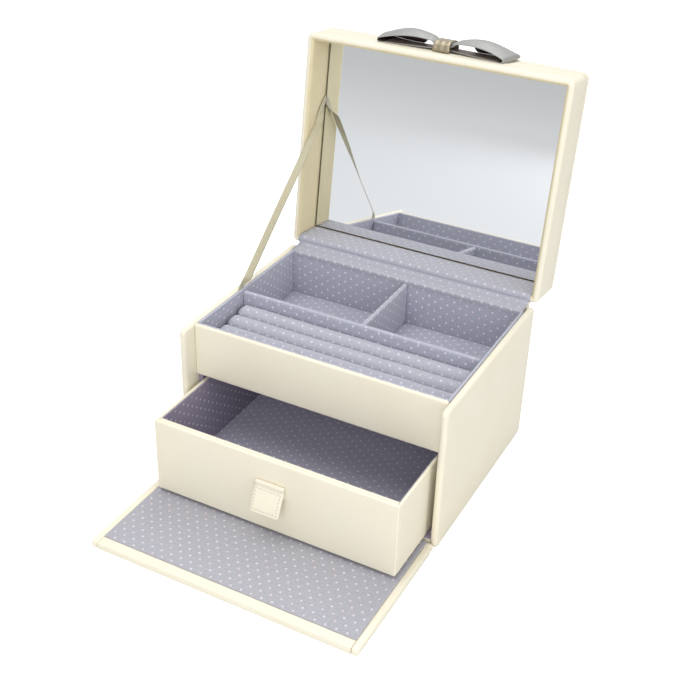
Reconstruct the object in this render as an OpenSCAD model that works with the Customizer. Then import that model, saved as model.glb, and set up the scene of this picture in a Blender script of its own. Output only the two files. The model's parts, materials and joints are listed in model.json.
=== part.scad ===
// Vanity box with a mirror lid, a lined top tray, one drawer and a fold-down front flap.
// Board construction wrapped in padded leatherette, lined in dotted fabric.
// X runs to the right, Y to the back, Z up. The origin is the middle of the case's base.
// The lid is drawn open, the drawer pulled out and the flap lying flat in front.

/* [Case] */
// Outside width of the case
case_w = 200; // [190:1:230]
// Outside depth of the side panels
case_d = 156; // [146:1:180]
// Height of the rim above the table
case_h = 109; // [104:1:130]
// Thickness of a padded, wrapped side or back panel
panel_t = 5; // [4:0.5:6]
// Corner radius of the side panels, seen from the side
panel_corner_r = 4; // [3:0.5:8]
// How far the tray front and the closed drawer stand back between the side panels
front_recess = 11.5; // [9:0.5:16]
// Thickness of the base board with its wrap
base_t = 6; // [4:0.5:8]
// Thickness of the lining on the floor of the drawer bay
bay_lining_t = 1.2; // [0.8:0.1:2]
// Thickness of the lined boards beside the drawer, which carry the tray
bay_wall_t = 3.4; // [2:0.1:3.5]

/* [Tray] */
// Height of the tray front panel, down from the rim
tray_front_h = 40.5; // [38:0.5:46]
// Thickness of the tray front board with its wrap
tray_front_t = 3; // [2.5:0.5:4]
// Thickness of the board under the tray
tray_floor_t = 3; // [2:0.5:4]
// Thickness of the padded floor lining
floor_pad_t = 2; // [1:0.5:3]
// Thickness of the lined card round the inside of the tray
lining_t = 2; // [1.5:0.5:3]
// Thickness of the rail that stiffens the hinge edge
rail_t = 4.5; // [3:0.5:7]
// Thickness of the fabric that covers the hinge edge
cloth_t = 0.6; // [0.4:0.1:0.8]
// Depth of the ring roll section, front lining to long divider
ring_section_d = 54; // [50:1:62]
// Thickness of the fabric-covered dividers
divider_t = 3.5; // [3:0.5:5]
// How far the long divider's top lies below the rim
long_divider_drop = 1.5; // [1:0.5:6]
// How far the cross divider's top lies below the rim
cross_divider_drop = 2.5; // [1:0.5:8]
// Width of the left back compartment
left_compartment_w = 94.5; // [80:0.5:100]
// Number of padded ring rolls
roll_count = 4; // [3:1:5]
// How far the front roll's crest lies below the rim
roll_drop = 13; // [12:0.5:18]
// How much higher each roll stands than the one in front of it
roll_step = 1.4; // [0:0.1:2]
// Slit between neighbouring rolls, where a ring shank goes
roll_slit = 0.4; // [0.3:0.1:0.6]
// Gap between a roll's end and the side lining
roll_end_gap = 2; // [1:0.5:4]
// Radius of the rounded roll ends
roll_end_r = 4; // [2:0.5:6]

/* [Drawer] */
// Gap between the drawer and the board on either side of it
drawer_side_gap = 0.6; // [0.4:0.1:1.2]
// Room between the drawer's top edge and the board under the tray
drawer_headroom = 4.5; // [1:0.5:6]
// Gap behind the drawer when it is pushed home
drawer_back_gap = 3.5; // [1:0.5:10]
// How far the drawer is pulled out
drawer_out = 56; // [40:1:60]
// Thickness of the face board glued to the drawer box
drawer_face_t = 3; // [2.5:0.5:4]
// Thickness of the drawer box boards
drawer_board_t = 2.2; // [2:0.1:3]
// Thickness of the fabric lining in the drawer
drawer_lining_t = 0.8; // [0.6:0.1:1]
// Gap under the drawer
drawer_glide = 0.4; // [0.3:0.1:1]
// Edge radius of the wrapped drawer boards
drawer_edge_r = 0.9; // [0.6:0.1:1]
// Width of the pull tab
tab_w = 22; // [18:1:30]
// Length of the pull tab's hanging ply, below its fold
tab_h = 20.5; // [16:0.5:24]
// Height of the pull tab's top above the drawer's lower edge
tab_rise = 40; // [36:0.5:44]
// Length of the tab's back ply, which is glued to the drawer's face
tab_back_h = 10; // [6:0.5:14]
// Thickness of one ply of the pull tab
tab_ply_t = 1.2; // [0.8:0.1:1.4]
// Radius of the fold at the top of the tab
tab_fold_r = 1.5; // [1.4:0.1:2]
// Angle at which the hanging ply stands off the drawer
tab_flare = 20; // [8:1:22]
// Corner radius of the pull tab's free corners
tab_corner_r = 1; // [0.5:0.5:4]

/* [Flap] */
// How far the front flap is set in from either side of the case
flap_inset = 1.5; // [1:0.5:4]
// Gap between the closed lid's mouth and the flap's upper edge when it is folded up
flap_lid_gap = 1.4; // [1:0.1:2.4]
// Thickness of the front flap
flap_t = 5; // [4.5:0.5:5]
// Edge radius of the flap's wrapped upper edges
flap_edge_r = 1.5; // [1:0.5:2]
// Corner radius of the flap's free corners
flap_corner_r = 2.5; // [2:0.5:6]
// Margin between the lining and the flap's side edges
flap_margin_side = 5; // [4:0.5:9]
// Margin between the lining and the flap's free edge
flap_margin_end = 7.8; // [5:0.2:12]
// Depth to which the flap lining is let in
flap_lining_t = 0.8; // [0.6:0.1:1.2]
// Gap between the flap and the side panels' front edges
flap_gap = 0.3; // [0.3:0.1:0.6]
// Thickness of the leatherette strip that hinges the flap
strip_t = 0.6; // [0.4:0.1:1]
// Width of each half of the flap's hinge strip
strip_leaf_w = 12; // [8:1:20]

/* [Lid] */
// How far the lid overhangs the case at either side
lid_side_overhang = 1; // [0:0.5:2]
// How far the closed lid overhangs the case's front
lid_front_overhang = 4.5; // [2:0.5:8]
// Height of the lid
lid_h = 37.5; // [34:0.5:44]
// Thickness of the lid's padded walls
lid_wall_t = 5.5; // [5:0.5:6]
// Corner radius of the lid in plan
lid_corner_r = 5; // [4:0.5:5]
// Edge radius round the lid's top
lid_edge_r = 4; // [2:0.5:4]
// Thickness of the lid's padded top
lid_top_t = 7.3; // [6:0.1:9]
// Gap between the case rim and the closed lid
lid_gap = 1.6; // [1.5:0.1:2]
// Angle at which the ribbon holds the lid open
lid_open = 97.3; // [92:0.1:105]
// Thickness of the leatherette spine strip
spine_t = 0.8; // [0.6:0.1:1]
// Width of each leaf of the spine strip
spine_leaf_w = 16; // [10:1:24]

/* [Mirror] */
// Thickness of the mirror glass
mirror_t = 3; // [2:0.5:4]
// Thickness of the card behind the mirror
backing_t = 1.5; // [1:0.5:2]
// Gap round the mirror
mirror_gap = 1.2; // [1:0.1:1.4]

/* [Ribbon] */
// Width of the ribbon stay
ribbon_w = 5.6; // [3:0.1:7]
// Thickness of the ribbon stay
ribbon_t = 0.4; // [0.3:0.1:0.4]
// Distance of the ribbon's lower end from the hinge, along the rim
ribbon_case_run = 86; // [60:1:110]
// Distance of the ribbon's upper end from the hinge, up the lid
ribbon_lid_run = 109; // [80:1:130]
// Length of the ribbon's lower tail, glued behind the lining
ribbon_tail = 12; // [6:1:20]
// Length over which the ribbon turns flat above the rim
ribbon_low_turn = 16; // [10:1:24]
// Length over which the ribbon turns back before it enters the mirror's gap
ribbon_high_turn = 22; // [10:1:30]

/* [Bow] */
// Distance from the middle of the bow to the end of a loop
bow_reach = 51; // [40:1:60]
// Width of the band at the end of a loop
band_end_w = 22; // [16:1:24]
// Width of the band where it enters the knot
band_knot_w = 16; // [12:0.5:18]
// Thickness of the bow's band
band_t = 0.9; // [0.7:0.1:1.2]
// Height of a loop where it enters the knot
loop_knot_h = 6.6; // [6:0.2:8]
// Height of a loop's folded end
loop_end_h = 4.6; // [3:0.2:6]
// Extra height of a loop's crest
loop_crest = 5.7; // [4:0.1:8]
// Height of the upper band along its edge at the lid's mouth side
band_mouth_h = 8; // [6:0.2:9]
// Height of the upper band along its other edge
band_far_h = 2.8; // [2.4:0.2:5]
// Distance from the middle of the bow to where a loop closes along its far edge
loop_slot_end = 26; // [18:1:34]
// Width of the knot along the bow
knot_w = 13; // [10:0.5:16]
// Shoulder radius of the knot
knot_r = 3.2; // [2:0.2:3.4]
// Gap between the knot and the band inside it
knot_gap = 0.5; // [0.4:0.1:0.8]
// Height of the bow's middle above the lid's mouth
bow_rise = 19; // [14:0.5:24]

/* [Hidden] */

$fn = 48;

cream = "#f1ecdc";
cream_side = "#e9e4d2";
fabric = "#a9acbb";
fabric_light = "#c2c4d0";
pewter = "#b9b5ae";
glass_tint = "#dfe6e8";

// Clearance between wrapped pieces that slide or lie side by side
fit_gap = 0.5;
// Clearance between the ribbon and the side panel's inner face
ribbon_clear = 0.1;

case_front = -case_d / 2;
case_back = case_d / 2;
inner_w = case_w - 2 * panel_t;
panel_back_in = case_back - panel_t;
tray_front_y = case_front + front_recess;
tray_z = case_h - tray_front_h;
tray_board_top = tray_z + tray_floor_t;
tray_floor_z = tray_board_top + floor_pad_t;
lining_front_y = tray_front_y + tray_front_t;
tray_in_front = lining_front_y + lining_t;
lining_back_y = panel_back_in - rail_t - lining_t;
tray_in_w = inner_w - 2 * lining_t;
divider_y = tray_in_front + ring_section_d;
cross_x = left_compartment_w - tray_in_w / 2;
lining_top = case_h - 0.5;
bay_floor_z = base_t + bay_lining_t;
roll_pitch = ring_section_d / roll_count;

drawer_w = inner_w - 2 * (bay_wall_t + drawer_side_gap);
drawer_y = tray_front_y - drawer_out;
drawer_z = bay_floor_z + drawer_glide;
drawer_h = tray_z - drawer_headroom - drawer_z;
drawer_d = panel_back_in - drawer_back_gap - tray_front_y;
drawer_box_y = drawer_y + drawer_face_t;
drawer_back_y = drawer_y + drawer_d;
drawer_in_y = drawer_box_y + drawer_board_t;
drawer_in_w = drawer_w - 2 * drawer_board_t;
drawer_floor_z = drawer_z + drawer_board_t + drawer_lining_t;
drawer_lining_top = drawer_z + drawer_h - drawer_edge_r;

hinge_y = case_back;
hinge_z = case_h + lid_gap;

flap_w = case_w - 2 * flap_inset;
flap_l = hinge_z - flap_lid_gap;
flap_y = case_front - flap_gap;
flap_free_y = flap_y - flap_l;
base_front_y = case_front + 1;

lid_w = case_w + 2 * lid_side_overhang;
lid_d = case_d + lid_front_overhang;
lid_in_w = lid_w - 2 * lid_wall_t;
lid_wall_h = lid_h - lid_top_t;
backing_z = lid_wall_h - backing_t;
mirror_z = backing_z - mirror_t;
mirror_back_y = -(lid_wall_t + cloth_t + mirror_gap);
mirror_front_y = -(lid_d - lid_wall_t - mirror_gap);
mirror_w = lid_in_w - 2 * mirror_gap;
knot_h = loop_top(knot_w / 4 / (bow_reach - knot_w / 4)) + knot_gap + band_t;
ribbon_x = -(inner_w / 2 - ribbon_clear - ribbon_t / 2);
ribbon_low = [case_back - ribbon_case_run, case_h];
ribbon_high = [
    hinge_y - ribbon_lid_run * cos(lid_open) + mirror_z * sin(lid_open),
    hinge_z + ribbon_lid_run * sin(lid_open) + mirror_z * cos(lid_open)
];

// Box given by its lowest and highest corners.
module span(low, high) {
    translate(low) cube(high - low);
}

// Draws a Y-Z profile and stretches it along X, centred.
module along_x(length) {
    translate([-length / 2, 0, 0]) rotate([90, 0, 90]) linear_extrude(length) children();
}

// Rectangle in 2D whose corners have the radii of r: [low left, low right, high right, high left].
module round_rect(low, high, r) {
    x = [low[0], high[0], high[0], low[0]];
    y = [low[1], low[1], high[1], high[1]];
    sx = [1, -1, -1, 1];
    sy = [1, 1, -1, -1];
    difference() {
        translate(low) square(high - low);
        for (i = [0 : 3]) if (r[i] > 0) difference() {
            translate([x[i] - (sx[i] > 0 ? 1 : r[i]), y[i] - (sy[i] > 0 ? 1 : r[i])])
                square(r[i] + 1);
            translate([x[i] + sx[i] * r[i], y[i] + sy[i] * r[i]]) circle(r[i]);
        }
    }
}

// Puts closed-lid coordinates, with the hinge line at the origin, into the open pose.
module on_lid() {
    translate([0, hinge_y, hinge_z]) rotate([-lid_open, 0, 0]) children();
}

// Padded side panel with a full round nose at the front, the back and the top.
module side_panel(side) {
    nose = panel_t / 2;
    x = side * (case_w - panel_t) / 2;
    color(cream_side) intersection() {
        translate([x, 0, 0]) linear_extrude(case_h)
            round_rect([-nose, case_front], [nose, case_back], [nose, nose, nose, nose]);
        translate([x, case_back, 0]) rotate([90, 0, 0]) linear_extrude(case_d)
            round_rect([-nose, 0], [nose, case_h], [0, 0, nose, nose]);
        along_x(case_w)
            round_rect([case_front, 0], [case_back, case_h],
                [panel_corner_r, 1, panel_corner_r, panel_corner_r]);
    }
}

module side_panel_left() { side_panel(-1); }
module side_panel_right() { side_panel(1); }

module back_panel() {
    color(cream_side) along_x(inner_w)
        round_rect([panel_back_in, 0], [case_back, case_h], [0, 1, panel_t / 2, 0]);
}

// The base has a shallow step underneath for the flap's hinge strip.
module base_panel() {
    color(cream) difference() {
        span([-inner_w / 2, base_front_y, 0], [inner_w / 2, panel_back_in, base_t]);
        span([-inner_w, base_front_y - 1, -1], [inner_w, base_front_y + strip_leaf_w, strip_t]);
    }
}

module bay_lining() {
    color(fabric) span([-inner_w / 2, base_front_y, base_t], [inner_w / 2, panel_back_in, bay_floor_z]);
}

// Board beside the drawer, from the bay floor up to the tray, set back behind the tray front.
module bay_wall(side) {
    x = side > 0 ? inner_w / 2 - bay_wall_t : -inner_w / 2;
    color(fabric) span([x, lining_front_y, bay_floor_z], [x + bay_wall_t, panel_back_in, tray_z]);
}

module bay_wall_left() { bay_wall(-1); }
module bay_wall_right() { bay_wall(1); }

module tray_front_panel() {
    nose = tray_front_t / 2;
    color(cream) along_x(inner_w)
        round_rect([tray_front_y, tray_z], [lining_front_y, case_h], [nose, 0, nose, nose]);
}

module tray_floor() {
    color(cream) span([-inner_w / 2, lining_front_y, tray_z], [inner_w / 2, panel_back_in, tray_board_top]);
}

module tray_floor_pad() {
    color(fabric) span([-tray_in_w / 2, tray_in_front, tray_board_top],
        [tray_in_w / 2, lining_back_y, tray_floor_z]);
}

module hinge_rail() {
    color(cream) span([-inner_w / 2, lining_back_y + lining_t, tray_board_top],
        [inner_w / 2, panel_back_in, case_h]);
}

// Lined card against a side panel. The left one has a slot behind it for the ribbon's tail.
module side_lining(side) {
    x = side > 0 ? inner_w / 2 - lining_t : -inner_w / 2;
    color(fabric) difference() {
        span([x, tray_in_front, tray_board_top], [x + lining_t, lining_back_y, lining_top]);
        if (side < 0) span(
            [x - 1, ribbon_low[0] - ribbon_w / 2 - fit_gap, lining_top - ribbon_tail - fit_gap],
            [ribbon_x + ribbon_t / 2 + 0.2, ribbon_low[0] + 0.75 * ribbon_w + fit_gap, case_h]);
    }
}

module lining_left() { side_lining(-1); }
module lining_right() { side_lining(1); }

module lining_front() {
    color(fabric) span([-inner_w / 2, lining_front_y, tray_board_top],
        [inner_w / 2, tray_in_front, lining_top]);
}

module lining_back() {
    color(fabric) span([-inner_w / 2, lining_back_y, tray_board_top],
        [inner_w / 2, lining_back_y + lining_t, case_h]);
}

// Fabric over the wide back rim, from the tray's back lining to the hinge line.
module rim_cloth() {
    color(fabric_light) along_x(inner_w - 2 * fit_gap)
        round_rect([lining_back_y, case_h], [case_back - 1, case_h + cloth_t], [0, 0, 0, cloth_t]);
}

module long_divider() {
    nose = divider_t / 2;
    color(fabric_light) along_x(tray_in_w)
        round_rect([divider_y, tray_floor_z], [divider_y + divider_t, case_h - long_divider_drop],
            [0, 0, nose, nose]);
}

module cross_divider() {
    nose = divider_t / 2;
    color(fabric_light) translate([cross_x, lining_back_y, 0]) rotate([90, 0, 0])
        linear_extrude(lining_back_y - divider_y - divider_t)
            round_rect([0, tray_floor_z], [divider_t, case_h - cross_divider_drop], [0, 0, nose, nose]);
}

// One padded roll: a round crest on a straight body, with rounded ends.
module ring_roll(index) {
    radius = (roll_pitch - roll_slit) / 2;
    y = tray_in_front + roll_pitch * (index + 0.5);
    top = case_h - roll_drop + roll_step * index;
    half = tray_in_w / 2 - roll_end_gap;
    intersection() {
        along_x(2 * half)
            round_rect([y - radius, tray_floor_z], [y + radius, top], [0, 0, radius, radius]);
        translate([0, y + radius, 0]) rotate([90, 0, 0]) linear_extrude(2 * radius)
            round_rect([-half, tray_floor_z], [half, top], [0, 0, roll_end_r, roll_end_r]);
    }
}

module ring_rolls() {
    color(fabric_light) for (i = [0 : roll_count - 1]) ring_roll(i);
}

// Corner of a frame: the profile, drawn with X outwards, turned through a quarter circle.
module corner_turn(angle) {
    rotate([0, 0, angle]) rotate_extrude(angle = 90) children();
}

// Profile of the lid top's edge, X from the corner's centre outwards and Y up.
module lid_top_edge() {
    round_rect([0, 0], [lid_corner_r, lid_top_t], [0, 0, lid_edge_r, 0]);
}

// Padded top of the lid: a slab with a rounded upper edge that turns round its four corners.
module lid_top_panel() {
    r = lid_corner_r;
    hw = lid_w / 2 - r;
    hd = lid_d / 2 - r;
    color(cream) on_lid() translate([0, -lid_d / 2, lid_wall_h]) {
        span([-hw, -hd, 0], [hw, hd, lid_top_t]);
        for (s = [-1, 1]) {
            turn = s < 0 ? 180 : 0;
            translate([s * hw, 0, 0]) rotate([0, 0, turn]) translate([0, hd, 0])
                rotate([90, 0, 0]) linear_extrude(2 * hd) lid_top_edge();
            translate([0, s * hd, 0]) rotate([0, 0, turn]) translate([-hw, 0, 0])
                rotate([90, 0, 90]) linear_extrude(2 * hw) lid_top_edge();
        }
        translate([hw, hd, 0]) corner_turn(0) lid_top_edge();
        translate([-hw, hd, 0]) corner_turn(90) lid_top_edge();
        translate([-hw, -hd, 0]) corner_turn(180) lid_top_edge();
        translate([hw, -hd, 0]) corner_turn(270) lid_top_edge();
    }
}

// Lid wall across the front or back, between the side walls, with a round nose at the mouth.
module lid_cross_wall(y_low) {
    nose = lid_wall_t / 2;
    along_x(lid_in_w)
        round_rect([y_low, 0], [y_low + lid_wall_t, lid_wall_h], [nose, nose, 0, 0]);
}

module lid_wall_front() {
    color(cream) on_lid() lid_cross_wall(-lid_d);
}

module lid_wall_back() {
    color(cream) on_lid() lid_cross_wall(-lid_wall_t);
}

// Lid side wall over the full depth, with the lid's outer corners rounded.
module lid_side_wall(side) {
    nose = lid_wall_t / 2;
    x = side > 0 ? lid_w / 2 - lid_wall_t : -lid_w / 2;
    outer = lid_corner_r;
    color(cream_side) on_lid() intersection() {
        translate([x, 0, 0]) rotate([90, 0, 0]) linear_extrude(lid_d)
            round_rect([0, 0], [lid_wall_t, lid_wall_h], [nose, nose, 0, 0]);
        translate([x, -lid_d, 0]) linear_extrude(lid_wall_h)
            round_rect([0, 0], [lid_wall_t, lid_d],
                side > 0 ? [0, outer, outer, 0] : [outer, 0, 0, outer]);
        along_x(lid_w + 2)
            round_rect([-lid_d, 0], [0, lid_wall_h], [nose, nose, 0, 0]);
    }
}

module lid_wall_left() { lid_side_wall(-1); }
module lid_wall_right() { lid_side_wall(1); }

// Fabric on the hinge-side wall: round its nose and up its inner face to the mirror.
module lid_hinge_cloth() {
    nose = lid_wall_t / 2;
    color(fabric_light) on_lid() along_x(lid_in_w) difference() {
        round_rect([-lid_wall_t - cloth_t, -cloth_t], [-nose, mirror_z],
            [nose + cloth_t, 0, 0, 0]);
        round_rect([-lid_wall_t, 0], [0, mirror_z + 1], [nose, nose, 0, 0]);
    }
}

module mirror_plate() {
    color(glass_tint) on_lid()
        span([-mirror_w / 2, mirror_front_y, mirror_z], [mirror_w / 2, mirror_back_y, backing_z]);
}

module mirror_backing() {
    color(cream) on_lid()
        span([-mirror_w / 2, mirror_front_y, backing_z], [mirror_w / 2, mirror_back_y, lid_wall_h]);
}

// Leatherette spine: one leaf down the case's back, one on the lid's back, round at the crease.
module lid_spine() {
    half = spine_t / 2;
    lean = lid_open - 90;
    crease = [hinge_y + half, hinge_z - half * (1 + sin(lean)) / cos(lean)];
    color(cream_side) along_x(inner_w) {
        translate([hinge_y, case_h - spine_leaf_w]) square([spine_t, spine_leaf_w + lid_gap - half]);
        translate(crease) circle(half);
        translate(crease) rotate(-lean) translate([0, -half]) square([spine_leaf_w, spine_t]);
    }
}

// Ribbon stay: a taut strap from the left rim to the mirror's left edge, with both ends tucked in.
// It stands on edge where it is tucked in, and lies flat, facing the front, in between.
module ribbon_stay() {
    rise = ribbon_high - ribbon_low;
    run = norm(rise);
    slope = atan2(rise[1], rise[0]);
    lean = 90 - lid_open;
    edge = [0, -ribbon_w / 2, 0];
    color(cream) {
        translate([ribbon_x, 0, 0]) along_x(ribbon_t) {
            translate([ribbon_low[0] - ribbon_w / 2, case_h - ribbon_tail])
                square([ribbon_w, ribbon_tail]);
            translate(ribbon_low) circle(ribbon_w / 2);
            translate(ribbon_high) circle(ribbon_w / 2);
            translate(ribbon_high) rotate(lean) translate([0, -ribbon_w / 2])
                square([mirror_t, ribbon_w]);
        }
        translate([ribbon_x - ribbon_t / 2, ribbon_low[0], ribbon_low[1]]) rotate([slope - 90, 0, 0]) {
            span(edge, [ribbon_t, ribbon_w / 2, ribbon_w]);
            translate([0, 0, ribbon_w]) ribbon_turn(ribbon_low_turn - ribbon_w);
            span([0, -ribbon_t / 2, ribbon_low_turn - 0.1],
                [ribbon_w, ribbon_t / 2, run - ribbon_high_turn + 0.1]);
            translate([0, 0, run]) mirror([0, 0, 1]) {
                span(edge, [ribbon_t, ribbon_w / 2, ribbon_w]);
                translate([0, 0, ribbon_w]) ribbon_turn(ribbon_high_turn - ribbon_w);
            }
        }
    }
}

// Strap section that turns from on edge to flat over its length, in small steps. Its side next
// to the panel stays where it is.
module ribbon_turn(length) {
    steps = 10;
    for (i = [0 : steps - 1]) {
        a = 90 * (1 - (i + 0.5) / steps);
        translate([(ribbon_w * cos(a) + ribbon_t * sin(a)) / 2, 0, length * i / steps - 0.05])
            rotate([0, 0, a]) linear_extrude(length / steps + 0.1)
                square([ribbon_w, ribbon_t], center = true);
    }
}

// Height of a loop's upper band at the share s of its length, from knot to end.
function loop_top(s) = loop_knot_h + (loop_end_h - loop_knot_h) * s + loop_crest * pow(sin(180 * s), 1.2);
function loop_x(s) = knot_w / 4 + (bow_reach - knot_w / 4) * s;

// Height of the upper band across its width, at v = -1 on the mouth side and 1 on the far side.
function band_crown(v) = loop_knot_h + loop_crest - (v < 0.15
    ? (loop_knot_h + loop_crest - band_mouth_h) * pow((0.15 - v) / 1.15, 2)
    : (loop_knot_h + loop_crest - band_far_h) * pow((v - 0.15) / 0.85, 2));

// Space under the upper band's skin: the arch along the loop and the crown across it, let in by t.
module loop_space(t) {
    steps = 28;
    share = 1 - t / (bow_reach - knot_w / 4);
    half = band_end_w / 2;
    intersection() {
        translate([0, half + 1, 0]) rotate([90, 0, 0]) linear_extrude(band_end_w + 2)
            polygon([[loop_x(0) - t, t], [loop_x(share), t],
                for (i = [steps : -1 : 0])
                    [loop_x(i / steps * share), loop_top(i / steps * share) - t],
                [loop_x(0) - t, loop_top(0) - t]]);
        rotate([90, 0, 90]) linear_extrude(bow_reach + 1)
            polygon([[-half - t, t], [half + t, t],
                for (i = [steps / 2 : -1 : 0])
                    [half * (4 * i / steps - 1), band_crown(4 * i / steps - 1) - t],
                [-half - t, band_crown(-1) - t]]);
    }
}

// Hollow loop with a domed upper band: open on the mouth side, closed along most of its far edge.
module bow_loop() {
    half = band_end_w / 2;
    knot_half = band_knot_w / 2;
    slot_half = knot_half + (half - knot_half) * (loop_slot_end - knot_w / 2) / (bow_reach - knot_w / 2);
    difference() {
        intersection() {
            loop_space(0);
            linear_extrude(2 * knot_h) polygon([
                [loop_x(0), -knot_half], [knot_w / 2, -knot_half], [bow_reach, -half],
                [bow_reach, half], [knot_w / 2, knot_half], [loop_x(0), knot_half]]);
        }
        intersection() {
            loop_space(band_t);
            linear_extrude(2 * knot_h) polygon([
                [loop_x(0) - 1, -half - 1], [bow_reach, -half - 1], [bow_reach, half - band_t],
                [loop_slot_end, slot_half - band_t], [loop_slot_end, half + 1], [loop_x(0) - 1, half + 1]]);
        }
    }
}

// Puts bow coordinates, X along the bow and Z off the lid, onto the lid's front wall.
module on_lid_front() {
    on_lid() translate([0, -lid_d, bow_rise]) rotate([90, 0, 0]) children();
}

module bow_loop_left() {
    color(pewter) on_lid_front() mirror([1, 0, 0]) bow_loop();
}

module bow_loop_right() {
    color(pewter) on_lid_front() bow_loop();
}

// Knot band: an arch over the bands with rounded shoulders, its feet on the lid.
module bow_knot() {
    inner = band_knot_w / 2 + knot_gap;
    outer = inner + band_t;
    color(pewter) on_lid_front() along_x(knot_w) difference() {
        round_rect([-outer, 0], [outer, knot_h], [0, 0, knot_r, knot_r]);
        round_rect([-inner, -1], [inner, knot_h - band_t], [0, 0, band_t, band_t]);
    }
}

// Flap board with rounded upper edges and free corners, let in on top for its lining.
module flap_board() {
    er = flap_edge_r;
    half = flap_w / 2;
    color(cream) difference() {
        intersection() {
            along_x(flap_w)
                round_rect([flap_free_y, 0], [flap_y, flap_t], [0, er, er, er]);
            translate([0, flap_y, 0]) rotate([90, 0, 0]) linear_extrude(flap_l)
                round_rect([-half, 0], [half, flap_t], [0, 0, er, er]);
            linear_extrude(flap_t)
                round_rect([-half, flap_free_y], [half, flap_y], [flap_corner_r, flap_corner_r, er, er]);
        }
        span([-half + flap_margin_side, flap_free_y + flap_margin_end, flap_t - flap_lining_t],
            [half - flap_margin_side, flap_y + 1, flap_t + 1]);
        span([-half - 1, flap_y - strip_leaf_w, -1], [half + 1, flap_y + 1, strip_t]);
    }
}

module flap_lining() {
    half = flap_w / 2 - flap_margin_side;
    color(fabric_light) along_x(2 * half)
        round_rect([flap_free_y + flap_margin_end, flap_t - flap_lining_t], [flap_y - fit_gap, flap_t],
            [0, 0, flap_lining_t, 0]);
}

module flap_hinge_strip() {
    color(cream) span([-inner_w / 2, flap_y - strip_leaf_w, 0],
        [inner_w / 2, base_front_y + strip_leaf_w, strip_t]);
}

// Upright wrapped board with rounded upper and front edges, drawn from corner to corner.
module drawer_board(low, high, r) {
    color(cream) translate([(low[0] + high[0]) / 2, 0, 0]) along_x(high[0] - low[0])
        round_rect([low[1], low[2]], [high[1], high[2]], r);
}

module drawer_face() {
    r = drawer_edge_r;
    half = drawer_w / 2;
    top = drawer_z + drawer_h;
    color(cream) intersection() {
        along_x(drawer_w) round_rect([drawer_y, drawer_z], [drawer_box_y, top], [r, 0, r, r]);
        linear_extrude(top) round_rect([-half, drawer_y], [half, drawer_box_y], [r, r, r, r]);
    }
}

module drawer_box_front() {
    r = drawer_edge_r;
    drawer_board([-drawer_in_w / 2, drawer_box_y, drawer_z],
        [drawer_in_w / 2, drawer_in_y, drawer_z + drawer_h], [0, 0, 0, r]);
}

module drawer_back() {
    r = drawer_edge_r;
    drawer_board([-drawer_in_w / 2, drawer_back_y - drawer_board_t, drawer_z],
        [drawer_in_w / 2, drawer_back_y, drawer_z + drawer_h], [0, 0, r, 0]);
}

module drawer_side(side) {
    r = drawer_edge_r;
    x = side > 0 ? drawer_w / 2 - drawer_board_t : -drawer_w / 2;
    color(cream_side) translate([x, drawer_back_y, 0]) rotate([90, 0, 0])
        linear_extrude(drawer_back_y - drawer_box_y)
            round_rect([0, drawer_z], [drawer_board_t, drawer_z + drawer_h],
                side > 0 ? [0, 0, r, 0] : [0, 0, 0, r]);
}

module drawer_side_left() { drawer_side(-1); }
module drawer_side_right() { drawer_side(1); }

module drawer_bottom() {
    color(cream) span([-drawer_in_w / 2, drawer_in_y, drawer_z],
        [drawer_in_w / 2, drawer_back_y - drawer_board_t, drawer_z + drawer_board_t]);
}

module drawer_lining_floor() {
    color(fabric) span([-drawer_in_w / 2, drawer_in_y, drawer_z + drawer_board_t],
        [drawer_in_w / 2, drawer_back_y - drawer_board_t, drawer_floor_z]);
}

module drawer_cross_lining(y) {
    color(fabric) span([-drawer_in_w / 2, y, drawer_floor_z],
        [drawer_in_w / 2, y + drawer_lining_t, drawer_lining_top]);
}

module drawer_lining_front() { drawer_cross_lining(drawer_in_y); }
module drawer_lining_back() { drawer_cross_lining(drawer_back_y - drawer_board_t - drawer_lining_t); }

module drawer_side_lining(side) {
    x = side > 0 ? drawer_in_w / 2 - drawer_lining_t : -drawer_in_w / 2;
    color(fabric) span([x, drawer_in_y + drawer_lining_t, drawer_floor_z],
        [x + drawer_lining_t, drawer_back_y - drawer_board_t - drawer_lining_t, drawer_lining_top]);
}

module drawer_lining_left() { drawer_side_lining(-1); }
module drawer_lining_right() { drawer_side_lining(1); }

// Pull tab: a leatherette strip folded over a bead at the top. Its back ply is glued to the
// drawer's face, and its front ply hangs down and stands off the face.
module pull_tab() {
    fold = [drawer_y - tab_fold_r, drawer_z + tab_rise - tab_fold_r];
    color(cream) {
        along_x(tab_w) {
            translate(fold) circle(tab_fold_r);
            translate([drawer_y - tab_ply_t, fold[1] - tab_back_h]) square([tab_ply_t, tab_back_h]);
        }
        translate([0, fold[0], fold[1]]) rotate([-tab_flare, 0, 0])
            translate([0, tab_ply_t - tab_fold_r, 0]) rotate([90, 0, 0]) linear_extrude(tab_ply_t)
                round_rect([-tab_w / 2, -tab_h], [tab_w / 2, 0], [tab_corner_r, tab_corner_r, 0, 0]);
    }
}

side_panel_left();
side_panel_right();
back_panel();
base_panel();
bay_lining();
bay_wall_left();
bay_wall_right();
tray_front_panel();
tray_floor();
tray_floor_pad();
hinge_rail();
lining_left();
lining_right();
lining_front();
lining_back();
rim_cloth();
long_divider();
cross_divider();
ring_rolls();
lid_top_panel();
lid_wall_front();
lid_wall_back();
lid_wall_left();
lid_wall_right();
lid_hinge_cloth();
mirror_plate();
mirror_backing();
lid_spine();
ribbon_stay();
bow_loop_left();
bow_loop_right();
bow_knot();
flap_board();
flap_lining();
flap_hinge_strip();
drawer_face();
drawer_box_front();
drawer_side_left();
drawer_side_right();
drawer_back();
drawer_bottom();
drawer_lining_front();
drawer_lining_back();
drawer_lining_left();
drawer_lining_right();
drawer_lining_floor();
pull_tab();
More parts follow.
